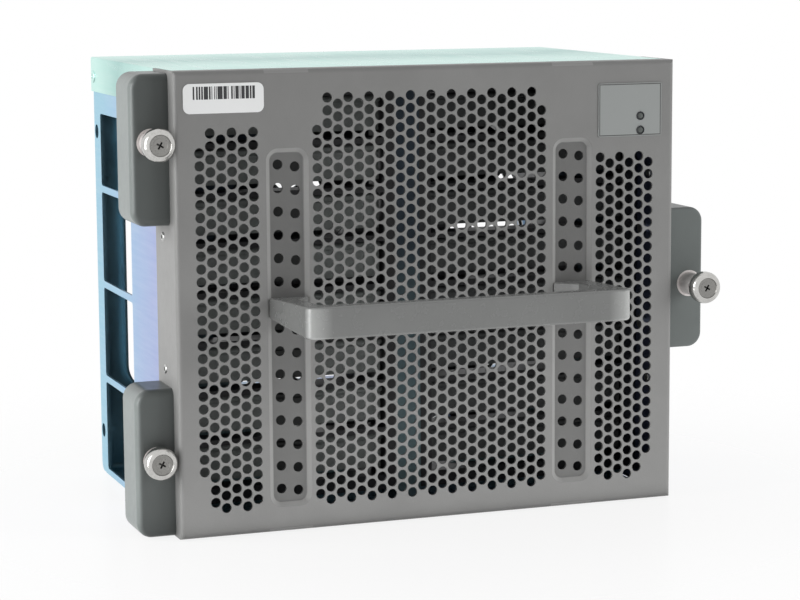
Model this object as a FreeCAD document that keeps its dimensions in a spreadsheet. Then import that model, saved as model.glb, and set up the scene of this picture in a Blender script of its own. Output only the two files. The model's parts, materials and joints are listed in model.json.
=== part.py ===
import FreeCAD, Part
import math
import os
import re
import Sketcher
from FreeCAD import Placement, Rotation, Vector

# A hot-swap fan tray: a zinc-plated box with a perforated front panel, a grab handle, three ears with
# captive thumbscrews, two banks of back-draft flaps and one axial fan.
# X runs to the right, the front faces -Y and Z is up. The tray stands on Z = 0, and the origin is the
# middle of its footprint, handle included. Lengths are millimetres.

doc = FreeCAD.newDocument("fan_tray")
dims = doc.addObject("Spreadsheet::Sheet", "Dims")

SIZES = {
    # Overall
    "panel_w": 212, "panel_h": 183, "body_depth": 137.5, "handle_reach": 44,
    # Sheet metal
    "panel_t": 1.2, "shell_t": 1, "bend_r": 2, "flange_d": 29.8, "lip_d": 8, "gap": 0.3,
    # Perforation of the front panel
    "hole_d": 4, "hole_pitch": 5, "field_shift": -0.7, "edge_margin": 9.5, "field_margin": 11,
    "field_land": 3.2, "plate_margin": 6.5, "corner_trim": 3,
    # Drawn ribs that carry the handle
    "rib_x": 60.6, "rib_w": 17.5, "rib_top_in": 30.6, "rib_bottom_in": 10, "rib_depth": 1.7,
    "rib_slope": 2.1, "rib_r": 5, "rib_hole_pitch": 9.2, "rib_hole_gap": 7, "rib_hole_stagger": 1,
    "rib_hole_in": 7,
    # Label, status plate and indicators
    "label_w": 32.2, "label_h": 11.5, "label_t": 0.3, "label_r": 2.6, "label_in_x": 20, "label_in_z": 10.6,
    "plate_w": 28.2, "plate_h": 21.7, "plate_t": 0.4, "plate_r": 0.8, "plate_in_x": 20, "plate_in_z": 19.9,
    "lens_d": 3.5, "lens_pitch": 5.8, "lens_x": 4.65, "lens_z": -5.55, "lens_len": 6,
    "lens_collar": 1, "emitter_w": 2, "emitter_h": 1.6, "small_post_d": 4, "small_post_in": 2.5,
    # Handle
    "handle_w": 134.2, "bar_h": 12.5, "bar_d": 8, "bar_r": 4, "bar_in_r": 3, "bar_edge": 1,
    "handle_drop": 1.9, "foot_w": 16, "foot_h": 8.4, "foot_run": 10,
    "handle_screw_d": 4, "handle_screw_len": 9,
    # Heads of the plain screws: radius as a share of the stem's diameter, and heights
    "head_share": 0.9, "head_t": 2, "head_crown": 1, "nut_t": 3,
    # Ears and captive thumbscrews
    "ear_left_w": 15.2, "ear_right_w": 17.5, "ear_h": 59, "ear_d": 21, "ear_front": 7.5, "ear_r": 6,
    "ear_left_edge": 3, "ear_right_edge": 1.2, "ear_top_in": 1,
    "ear_screw_d": 3, "ear_screw_pitch": 40, "ear_screw_len": 6, "ear_screw_in": 15.1,
    "knob_left_x": 7.2, "knob_right_x": 11.4, "knob_upper_rise": 3, "knob_lower_rise": 1.5,
    "knob_right_drop": 2.5, "knob_d": 13.2, "knob_t": 5, "knob_face_d": 8.6, "skirt_d": 9.2, "thread_d": 5,
    "screw_travel": 12.8, "upper_pull": 10.2, "lower_pull": 4, "right_pull": 12.3, "sleeve_d": 11,
    "sleeve_len": 4.5, "ring_d": 10.4, "ring_t": 1.2, "thread_out": 19.2, "thread_len": 5.5, "thread_tip": 1,
    "neck_d": 4, "ring_groove": 1, "knob_dish": 0.5, "knob_rim": 0.8, "knob_step": 1.2, "knob_edge": 0.5,
    "slot_w": 1.2, "slot_len": 5, "slot_d": 2.5,
    # Zinc shell
    "cover_flange": 14.7, "base_r": 4, "rear_flange": 10, "window_front": 75.6, "rear_strip": 11,
    "window_top_in": 23.9, "window_bottom_in": 3.6, "window_bar": 2.9, "window_r": 1.5,
    "first_window": 30.9, "opening_side_in": 12.6, "opening_bottom": 36, "opening_top_in": 15.5,
    "opening_r": 12, "opening_lip": 6, "locating_hole_d": 6, "locating_hole_in": 4.2, "locating_low": 19.5,
    "locating_high": 151, "rivet_d": 3, "rivet_head": 3.8, "rivet_head_t": 0.6, "rivet_depth": 19,
    "rivet_pitch": 52.5, "rivet_clear": 14, "cover_screw_d": 3, "cover_screw_head": 5.2, "cover_screw_t": 0.5,
    # Back-draft flaps
    "post_front": 29, "post_w": 10, "frame_front": 30, "bulkhead_at": 42, "damper_margin": 11.5,
    "frame_stile": 5, "frame_rail": 5, "cross_bar": 2.4, "flap_t": 0.9, "flap_barrel": 3.2, "flap_pin": 2,
    "flap_pin_len": 2.5, "flap_side_gap": 0.6, "flap_top_gap": 0.4, "flap_low_gap": 2.8, "stop_w": 2,
    "stop_h": 3, "fit": 0.05,
    # Fan
    "fan_margin": 5.5, "fan_d": 51, "fan_wall": 4, "fan_flange": 4, "fan_corner_r": 8, "fan_hole_in": 11,
    "fan_screw_d": 4, "strut_w": 7, "strut_d": 4, "hub_d": 64, "hub_wall": 2, "cup_t": 1.5, "magnet_t": 3,
    "air_gap": 0.8, "bearing_d": 13, "bearing_t": 4, "shaft_d": 5, "tube_wall": 2, "tip_gap": 1.2,
    "blade_t": 2, "blade_turn": 36, "blade_chord": 40, "blade_overrun": 4, "hub_clear": 1, "hub_back_in": 4,
    "hub_round": 3, "tube_clear": 2, "tube_floor": 1.5, "shaft_in": 2, "bearing_in": 3, "bearing_back_in": 1,
    "magnet_in": 1, "stator_in": 3, "stator_back_in": 6, "stator_core_t": 4, "tooth_w": 10, "tooth_in": 4,
    "shoe_w": 16, "shoe_t": 2, "lead_in_x": 25.8, "lead_in_z": 8.6,
    # Wire guard
    "guard_wire": 2, "guard_hub": 8, "guard_first_r": 20, "guard_pitch": 12, "guard_stand": 3,
    "guard_sink": 0.8,
    # Electronics
    "board_t": 1.6, "board_rise": 6, "board_w": 120, "board_back_in": 4, "board_screw": 5,
    "connector_w": 52, "connector_h": 13, "connector_d": 16, "contact_w": 1.6, "contact_pitch": 6,
    "contact_h": 7, "lead_d": 4.5, "thin_lead_d": 3, "lead_clear": 9,
    "indicator_board_w": 16, "indicator_board_h": 20, "indicator_gap": 1, "pocket_in": 4, "pocket_clear": 1,
    "contact_in": 2, "standoff_d": 6, "board_screw_d": 3, "board_screw_head": 5.6, "chip_w": 12,
    "chip_t": 1.8, "chip_in": 20, "choke_w": 8, "choke_in": 28, "choke_back": 6, "capacitor_d": 8,
    "capacitor_h": 12,
    "capacitor_in": 34, "capacitor_front": 4, "capacitor_gap": 5, "header_w": 10, "header_d": 8,
    "header_in": 15, "header_front": 1, "thin_header_w": 7, "thin_header_d": 4, "thin_header_h": 7,
    "thin_header_back": 6.7,
    "thin_turn": 3.5, "thin_bend": 8, "thin_run": 5, "thin_rise": 4,
}
FLAP_ROWS = 8
RIB_HOLES = 15
BLADES = 7
CONTACTS = 7
STATOR_ARMS = 4
# Blade sections at the root, half way and at the tip: share of the chord, extra turn, share of the thickness
BLADE_SECTIONS = ((0.75, 14, 1.4), (0.92, 4, 1.2), (1, -6, 1))
BLADE_BOW = 0.09
# Trim of each field's outermost column, above and below, by the field and whether it lies right of the middle
CORNER_HOLES = {("left", False): (1, 1.6), ("middle", False): (1.6, 0), ("middle", True): (1, 0),
                ("right", True): (0, 1)}

for row, (alias, size) in enumerate(SIZES.items(), start=1):
    dims.set(f"A{row}", alias)
    dims.set(f"B{row}", str(size))
    dims.setAlias(f"B{row}", alias)
doc.recompute()

NAMES = re.compile(r"\b(" + "|".join(SIZES) + r")\b")


def ref(text):
    """Turns the size names in a formula into references to the sheet."""
    return NAMES.sub(r"Dims.\1", str(text))


def number(text):
    """The value of a formula of size names."""
    return float(dims.evalExpression(ref(text)))


# Places that many pieces share, as formulas of the sizes
FACE = "(handle_reach - body_depth) / 2"
MID = "(panel_h / 2)"
WALL_OUT = "(panel_w / 2 - panel_t)"
WALL_IN = "(panel_w / 2 - panel_t - shell_t)"
COVER_LOW = "(panel_h - shell_t)"
SKIN_IN = "(panel_w / 2 - 6 * panel_t)"
FLAP_PITCH = f"((panel_h - 2 * damper_margin) / {FLAP_ROWS})"
FAN_SIZE = "(panel_h - 2 * fan_margin)"
FAN_BORE = f"({FAN_SIZE} / 2 - fan_wall)"
FAN_FRONT = "(bulkhead_at + shell_t)"
FAN_BACK = "(bulkhead_at + shell_t + fan_d)"
HANDLE_Z = "(panel_h / 2 - handle_drop)"
FOOT_Z = HANDLE_Z


def depth(text):
    """Y of a point that lies so far behind the panel's front face."""
    return f"{FACE} + ({text})"


parts = {}


def node(label, obj):
    """Registers a finished piece under the name of its file."""
    obj.Label = label
    parts[label] = obj
    return obj


def bind(obj, **formulas):
    for name, text in formulas.items():
        obj.setExpression(name.replace("__", "."), ref(text))


def box(name, x, y, z):
    """A block between two formulas along each axis."""
    obj = doc.addObject("Part::Box", name)
    bind(obj, Length=f"({x[1]}) - ({x[0]})", Width=f"({y[1]}) - ({y[0]})", Height=f"({z[1]}) - ({z[0]})")
    bind(obj, Placement__Base__x=x[0], Placement__Base__y=y[0], Placement__Base__z=z[0])
    return obj


TURNS = {
    "X": Rotation(Vector(0, 1, 0), 90),
    "Y": Rotation(Vector(1, 0, 0), -90),
    "Z": Rotation(),
}


def rod(name, axis, radius, start, end, at):
    """A cylinder along an axis from start to end, at the other two coordinates in order."""
    obj = doc.addObject("Part::Cylinder", name)
    obj.Placement = Placement(Vector(), TURNS[axis])
    bind(obj, Radius=radius, Height=f"({end}) - ({start})")
    places = list(at)
    places.insert("XYZ".index(axis), start)
    bind(obj, Placement__Base__x=places[0], Placement__Base__y=places[1], Placement__Base__z=places[2])
    return obj


def fuse(name, pieces):
    obj = doc.addObject("Part::MultiFuse", name)
    obj.Shapes = pieces
    obj.Refine = True
    return obj


def cut(name, base, tools):
    obj = doc.addObject("Part::Cut", name)
    obj.Base = base
    obj.Tool = tools[0] if len(tools) == 1 else fuse(name + "_tools", tools)
    obj.Refine = True
    return obj


def group(name, pieces):
    obj = doc.addObject("Part::Compound", name)
    obj.Links = pieces
    return obj


def fillet(name, base, radius, wanted):
    """Rounds the edges of base that the test wanted(edge) picks."""
    doc.recompute()
    obj = doc.addObject("Part::Fillet", name)
    obj.Base = base
    size = number(radius)
    obj.Edges = [(i, size, size) for i, e in enumerate(base.Shape.Edges, start=1) if wanted(e)]
    return obj


def runs_along(edge, axis):
    ends = [v.Point for v in edge.Vertexes]
    if len(ends) < 2:
        return False
    run = ends[1] - ends[0]
    return all(abs(run[i]) < 1e-6 for i in range(3) if i != "XYZ".index(axis))


def lies_at(edge, axis, place):
    i = "XYZ".index(axis)
    return all(abs(v.Point[i] - place) < 1e-6 for v in edge.Vertexes)


def outline(body, role, points):
    """A closed sketch on one of the body's own planes, each corner held by its two formulas."""
    sketch = body.newObject("Sketcher::SketchObject", body.Name + "_sketch")
    plane = next(f for f in body.Origin.OriginFeatures if f.Role == role)
    sketch.AttachmentSupport = [(plane, "")]
    sketch.MapMode = "FlatFace"
    corners = [Vector(number(a), number(b), 0) for a, b in points]
    count = len(points)
    for i in range(count):
        sketch.addGeometry(Part.LineSegment(corners[i], corners[(i + 1) % count]))
    for i in range(count):
        sketch.addConstraint(Sketcher.Constraint("Coincident", i, 2, (i + 1) % count, 1))
    for i, formulas in enumerate(points):
        for kind, text, value in zip(("DistanceX", "DistanceY"), formulas, corners[i]):
            index = sketch.addConstraint(Sketcher.Constraint(kind, -1, 1, i, 1, value))
            sketch.setExpression(f"Constraints[{index}]", ref(text))
    return sketch


def turned(name, points, at=("0", MID)):
    """A piece turned about an axis along Y: points are (radius, y), at is the axis's x and z."""
    body = doc.addObject("PartDesign::Body", name)
    sketch = outline(body, "XY_Plane", points)
    feature = body.newObject("PartDesign::Revolution", name + "_turn")
    feature.Profile = sketch
    feature.ReferenceAxis = (sketch, ["V_Axis"])
    feature.Angle = 360
    bind(body, Placement__Base__x=at[0], Placement__Base__z=at[1])
    return body


def mirrored(side, low, high):
    """An X span on the chosen side of the middle."""
    return (low, high) if side > 0 else (f"-({high})", f"-({low})")


def ring_points(inner, outer, start, end):
    return [(inner, start), (outer, start), (outer, end), (inner, end)]


def padded(name, role, points, length):
    """A piece with one flat outline, padded both ways from its plane."""
    body = doc.addObject("PartDesign::Body", name)
    sketch = outline(body, role, points)
    feature = body.newObject("PartDesign::Pad", name + "_pad")
    feature.Profile = sketch
    feature.Midplane = True
    bind(feature, Length=length)
    return body


# Front panel: a shallow pan with round bends, rows of holes and two drawn ribs

def rounded_wire(x, z, width, height, radius, y):
    """A rounded rectangle on a plane that faces the front, by its middle."""
    signs = ((-1, -1), (1, -1), (1, 1), (-1, 1))
    corners = [Vector(x + sx * width / 2, y, z + sz * height / 2) for sx, sz in signs]
    edges = []
    starts = []
    for i, corner in enumerate(corners):
        before = (corners[i - 1] - corner).normalize() * radius
        after = (corners[(i + 1) % 4] - corner).normalize() * radius
        middle = corner + (before + after) * (1 - math.sqrt(0.5))
        starts.append((corner + before, middle, corner + after))
    for i, (first, middle, last) in enumerate(starts):
        edges.append(Part.Arc(first, middle, last).toShape())
        edges.append(Part.makeLine(last, starts[(i + 1) % 4][0]))
    return Part.Wire(edges)


def hole_places():
    """Middles of the perforation's holes: a staggered grid inside the three fields."""
    column = number("hole_pitch") * math.sqrt(0.75)
    pitch = number("hole_pitch")
    half_w, half_h = number("panel_w / 2"), number("panel_h / 2")
    inner = number("rib_x - rib_w / 2 - field_land")
    outer = number("rib_x + rib_w / 2 + field_land")
    side = half_w - number("edge_margin")
    low = number("field_margin")
    tops = {
        "left": number("panel_h - label_in_z - label_h / 2 - plate_margin"),
        "right": number("panel_h - plate_in_z - plate_h / 2 - plate_margin"),
        "middle": number("panel_h - field_margin"),
    }
    shift = number("field_shift")
    places = []
    for c in range(-int(half_w / column), int(half_w / column) + 1):
        x = c * column + shift
        reach = abs(c * column)
        if reach <= inner:
            zone = "middle"
        elif outer <= reach <= side:
            zone = "left" if c < 0 else "right"
        else:
            continue
        top, bottom = tops[zone], low
        if reach + column > (inner if zone == "middle" else side):
            above, below = CORNER_HOLES[zone, c > 0]
            top -= above * number("corner_trim + hole_pitch")
            bottom += below * number("corner_trim + hole_pitch")
        offset = pitch / 2 if c % 2 else 0
        for r in range(-int(half_h / pitch) - 1, int(half_h / pitch) + 1):
            z = half_h + r * pitch + offset
            if bottom <= z <= top:
                places.append((x, z))
    return places


def rib_hole_places(rib):
    """Middles of a rib's holes: two staggered columns, without the row that the handle's foot covers."""
    top = number("panel_h - rib_top_in - rib_hole_in")
    foot = number(FOOT_Z)
    cover = number("foot_h / 2")
    places = []
    for row in range(RIB_HOLES):
        z = top - row * number("rib_hole_pitch")
        if abs(z - foot) < cover or z < number("rib_bottom_in + rib_hole_in - hole_d / 2"):
            continue
        for side in (-1, 1):
            x = rib + side * number("rib_hole_gap / 2")
            places.append((x, z - side * number("rib_hole_stagger / 2")))
    return places


def drawn_rib(rib, start):
    """The hollow of a drawn rib: a rounded outline that narrows towards its floor."""
    height = number("panel_h - rib_top_in - rib_bottom_in")
    z = number("rib_bottom_in") + height / 2
    slope = number("rib_slope")
    width = number("rib_w")
    radius = number("rib_r")
    mouth = rounded_wire(rib, z, width, height, radius, start)
    floor = rounded_wire(rib, z, width - 2 * slope, height - 2 * slope, radius - slope,
                         start + number("rib_depth"))
    return Part.makeLoft([mouth, floor], True, True)


def front_panel():
    face, thick = number(FACE), number("panel_t")
    width, height = number("panel_w"), number("panel_h")
    flange, lip, bend = number("flange_d"), number("lip_d"), number("bend_r")
    outer = Part.makeBox(width, flange, height, Vector(-width / 2, face, 0))
    front = [e for e in outer.Edges if lies_at(e, "Y", face)]
    outer = outer.makeFillet(bend, front)
    inner = Part.makeBox(width - 2 * thick, flange, height - 2 * thick,
                         Vector(thick - width / 2, face + thick, thick))
    front = [e for e in inner.Edges if lies_at(e, "Y", face + thick)]
    inner = inner.makeFillet(bend - thick, front)
    behind_lips = Part.makeBox(width - 2 * thick, flange, height, Vector(thick - width / 2, face + lip, 0))
    border = 2 * bend
    middle = Part.makeBox(width - 2 * border, thick, height - 2 * border,
                          Vector(border - width / 2, face, border))
    pan = outer.cut([inner, behind_lips, middle])

    ribs = (-number("rib_x"), number("rib_x"))
    left, right, low, high = border - width / 2, width / 2 - border, border, height - border
    corners = [(left, low), (right, low), (right, high), (left, high), (left, low)]
    rim = Part.makePolygon([Vector(x, face, z) for x, z in corners])
    radius = number("hole_d / 2")
    forward = Vector(0, 1, 0)
    rings = [Part.Wire(Part.makeCircle(radius, Vector(x, face, z), forward)) for x, z in hole_places()]
    sheet = Part.Face([rim] + rings).extrude(Vector(0, thick, 0))
    lens_x, lens_z = number(LENS_X), [number(z) for z in LENS_ZS]
    lens_r = number("lens_d / 2 + fit")
    hollows = [drawn_rib(rib, face) for rib in ribs]
    lenses = [Part.makeCylinder(lens_r, thick, Vector(lens_x, face, z), forward) for z in lens_z]
    sheet = sheet.cut(hollows + lenses)

    drilled = []
    deep = number("rib_depth + panel_t")
    for rib in ribs:
        for x, z in rib_hole_places(rib):
            drilled.append(Part.makeCylinder(radius, 2 * deep, Vector(x, face, z), forward))
        drilled.append(Part.makeCylinder(number("handle_screw_d / 2 + fit"), 2 * deep,
                                         Vector(rib, face, number(FOOT_Z)), forward))
    trays = [drawn_rib(rib, face + thick).cut(hollow) for rib, hollow in zip(ribs, hollows)]
    trays = [tray.cut(drilled) for tray in trays]

    through = []
    for side in (-1, 1):
        for y, z, bore in FLANGE_HOLES[side]:
            start = Vector(side * (width / 2 + 1), number(y), number(z))
            through.append(Part.makeCylinder(number(bore), 4 * thick, start, Vector(-side, 0, 0)))
    panel = pan.cut(through).fuse([sheet] + trays).removeSplitter()
    return panel


# Holes of the side flanges and side walls: rivets between the ears, and the screws of the ears
EAR_ZS = {
    "upper_left": "panel_h - ear_top_in - ear_h / 2",
    "lower_left": "ear_h / 2",
    "right": MID,
}
EAR_SIDE = {"upper_left": -1, "lower_left": -1, "right": 1}
EAR_SCREW_Y = depth("ear_front + ear_screw_in")
FLANGE_HOLES = {-1: [], 1: []}
RIVET_RISE = {-1: "rivet_pitch / 2", 1: "(ear_h / 2 + rivet_clear)"}
for flange_side in (-1, 1):
    for up in (-1, 1):
        FLANGE_HOLES[flange_side].append(
            (depth("rivet_depth"), f"{MID} + {up} * {RIVET_RISE[flange_side]}", "rivet_d / 2 + fit"))
for ear, ear_z in EAR_ZS.items():
    for up in (-1, 1):
        FLANGE_HOLES[EAR_SIDE[ear]].append(
            (EAR_SCREW_Y, f"{ear_z} + {up} * ear_screw_pitch / 2", "ear_screw_d / 2 + fit"))
LENS_X = "panel_w / 2 - plate_in_x + lens_x"
LENS_ZS = [f"panel_h - plate_in_z + lens_z + {up} * lens_pitch / 2" for up in (1, -1)]

panel_feature = doc.addObject("Part::Feature", "front_panel")
panel_feature.Shape = front_panel()
node("front_panel", panel_feature)

# Label and status plate, both thin sheets on the panel's face
LABEL_X = "label_in_x - panel_w / 2"
LABEL_Z = "panel_h - label_in_z"
label = box("label_block", (f"{LABEL_X} - label_w / 2", f"{LABEL_X} + label_w / 2"),
            (depth("-label_t"), FACE), (f"{LABEL_Z} - label_h / 2", f"{LABEL_Z} + label_h / 2"))
node("asset_label", fillet("asset_label", label, "label_r", lambda e: runs_along(e, "Y")))

PLATE_X = "panel_w / 2 - plate_in_x"
PLATE_Z = "panel_h - plate_in_z"
plate = box("plate_block", (f"{PLATE_X} - plate_w / 2", f"{PLATE_X} + plate_w / 2"),
            (depth("-plate_t"), FACE), (f"{PLATE_Z} - plate_h / 2", f"{PLATE_Z} + plate_h / 2"))
plate = fillet("plate_round", plate, "plate_r", lambda e: runs_along(e, "Y"))
plate_holes = [rod(f"plate_hole_{i}", "Y", "lens_d / 2 + fit", depth("-2 * plate_t"), depth("plate_t"),
                   (LENS_X, z))
               for i, z in enumerate(LENS_ZS)]
node("status_plate", cut("status_plate", plate, plate_holes))

# Indicators: two light pipes in the panel, and the small board behind them
BOARD_FRONT = "panel_t + lens_len"
lenses = []
for i, z in enumerate(LENS_ZS):
    lenses.append(turned(f"lens_{i}", [
        ("0", depth("-2 * plate_t")), ("lens_d / 2 - lens_d / 8", depth("-2 * plate_t")),
        ("lens_d / 2", depth("-plate_t")), ("lens_d / 2", depth("panel_t")),
        ("lens_d / 2 + lens_collar", depth("panel_t")),
        ("lens_d / 2 + lens_collar", depth("panel_t + lens_collar")),
        ("lens_d / 2", depth("panel_t + lens_collar")),
        ("lens_d / 2", depth(f"{BOARD_FRONT} - indicator_gap")),
        ("0", depth(f"{BOARD_FRONT} - indicator_gap"))], (LENS_X, z)))
node("indicator_lenses", group("indicator_lenses", lenses))

LENS_MID = "panel_h - plate_in_z + lens_z"
small_board = box("small_board", (f"{LENS_X} - indicator_board_w / 2", f"{LENS_X} + indicator_board_w / 2"),
                  (depth(BOARD_FRONT), depth(f"{BOARD_FRONT} + board_t")),
                  (f"{LENS_MID} - indicator_board_h / 2", f"{LENS_MID} + indicator_board_h / 2"))
emitters = [box(f"emitter_{i}", (f"{LENS_X} - emitter_w / 2", f"{LENS_X} + emitter_w / 2"),
                (depth(f"{BOARD_FRONT} - indicator_gap"), depth(BOARD_FRONT)),
                (f"{z} - emitter_h / 2", f"{z} + emitter_h / 2"))
            for i, z in enumerate(LENS_ZS)]
posts = [rod(f"small_post_{i}", "Y", "small_post_d / 2", depth("panel_t"), depth(BOARD_FRONT),
             (f"{LENS_X} + {side} * (indicator_board_w / 2 - small_post_in)",
              f"{LENS_MID} + {side} * (indicator_board_h / 2 - small_post_in)"))
         for i, side in enumerate((-1, 1))]
node("indicator_board", fuse("indicator_board", [small_board] + emitters + posts))

# Handle: one cast bow with flared feet in the ribs, held by a screw from behind each foot
SEAT = depth("rib_depth")
FRONT = depth("-handle_reach")
bow_plan = padded("bow_plan", "XY_Plane", [
    ("-rib_x - foot_w / 2", FACE), ("-handle_w / 2", FRONT),
    ("handle_w / 2", FRONT), ("rib_x + foot_w / 2", FACE),
    ("rib_x - foot_w / 2", FACE), ("handle_w / 2 - bar_d", f"{FACE} - foot_run"),
    ("handle_w / 2 - bar_d", f"{FRONT} + bar_d"), ("bar_d - handle_w / 2", f"{FRONT} + bar_d"),
    ("bar_d - handle_w / 2", f"{FACE} - foot_run"), ("foot_w / 2 - rib_x", FACE)], "2 * bar_h")
bind(bow_plan, Placement__Base__z=HANDLE_Z)
bow_side = padded("bow_side", "YZ_Plane", [
    (FRONT, f"{HANDLE_Z} - bar_h / 2"), (FACE, f"{FOOT_Z} - foot_h / 2"),
    (FACE, f"{FOOT_Z} + foot_h / 2"), (FRONT, f"{HANDLE_Z} + bar_h / 2")], "2 * panel_w")
bow = doc.addObject("Part::Common", "bow")
bow.Base = bow_plan
bow.Tool = bow_side
front_y, inner_y = number(FRONT), number(f"{FRONT} + bar_d")
bow = fillet("bow_corners", bow, "bar_r", lambda e: runs_along(e, "Z") and lies_at(e, "Y", front_y))
bow = fillet("bow_inner", bow, "bar_in_r",
             lambda e: runs_along(e, "Z") and lies_at(e, "Y", inner_y))
seat_y = number(FACE)


def on_skin(edge, up):
    """Whether an edge lies on the bow's upper or lower face, which slope from the bar to the feet."""
    bar, foot = number(f"{HANDLE_Z} + {up} * bar_h / 2"), number(f"{FOOT_Z} + {up} * foot_h / 2")
    slope = (foot - bar) / (seat_y - front_y)
    return all(abs(v.Point.z - bar - slope * (v.Point.y - front_y)) < 1e-4 for v in edge.Vertexes)


bow = fillet("bow_edges", bow, "bar_edge",
             lambda e: (on_skin(e, 1) or on_skin(e, -1)) and not lies_at(e, "Y", seat_y))
handle_bores = [rod(f"handle_bore_{i}", "Y", "handle_screw_d / 2", f"{SEAT} - handle_screw_len - gap", SEAT,
                    (f"{side} * rib_x", FOOT_Z)) for i, side in enumerate((-1, 1))]
boss_w = "(rib_w / 2 - rib_slope - gap)"
bosses = [box(f"boss_{i}", (f"{side} * rib_x - {boss_w}", f"{side} * rib_x + {boss_w}"),
              (f"{FACE} - bar_edge", SEAT),
              (f"{FOOT_Z} - foot_h / 2 + bar_edge", f"{FOOT_Z} + foot_h / 2 - bar_edge"))
          for i, side in enumerate((-1, 1))]
node("handle", cut("handle", fuse("bow_feet", [bow] + bosses), handle_bores))
RIB_BACK = depth("rib_depth + panel_t")
handle_screws = [turned(f"handle_screw_{i}", [
    ("0", f"{SEAT} - handle_screw_len"), ("handle_screw_d / 2", f"{SEAT} - handle_screw_len"),
    ("handle_screw_d / 2", RIB_BACK), ("handle_screw_d * head_share", RIB_BACK),
    ("handle_screw_d * head_share", f"{RIB_BACK} + head_t"),
    ("handle_screw_d * head_share - head_crown", f"{RIB_BACK} + head_t + head_crown"),
    ("0", f"{RIB_BACK} + head_t + head_crown")], (f"{side} * rib_x", FOOT_Z))
    for i, side in enumerate((-1, 1))]
node("handle_screws", group("handle_screws", handle_screws))

# Ears with their captive thumbscrews: sleeve, retaining ring and knurled screw
EAR_W = {"upper_left": "ear_left_w", "lower_left": "ear_left_w", "right": "ear_right_w"}
KNOB_X = {"upper_left": "-panel_w / 2 - knob_left_x", "lower_left": "-panel_w / 2 - knob_left_x",
          "right": "panel_w / 2 + knob_right_x"}
KNOB_Z = {"upper_left": f"{EAR_ZS['upper_left']} + knob_upper_rise",
          "lower_left": f"{EAR_ZS['lower_left']} + knob_lower_rise",
          "right": f"{MID} - knob_right_drop"}
EAR_EDGE = {"upper_left": "ear_left_edge", "lower_left": "ear_left_edge", "right": "ear_right_edge"}
PULL = {"upper_left": "upper_pull", "lower_left": "lower_pull", "right": "right_pull"}
EAR_FACE = depth("ear_front")
EAR_BACK = depth("ear_front + ear_d")
SLEEVE_END = depth("ear_front + sleeve_len")
WELL_END = depth("ear_front + sleeve_len + ring_t + screw_travel + 4 * gap")

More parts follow.
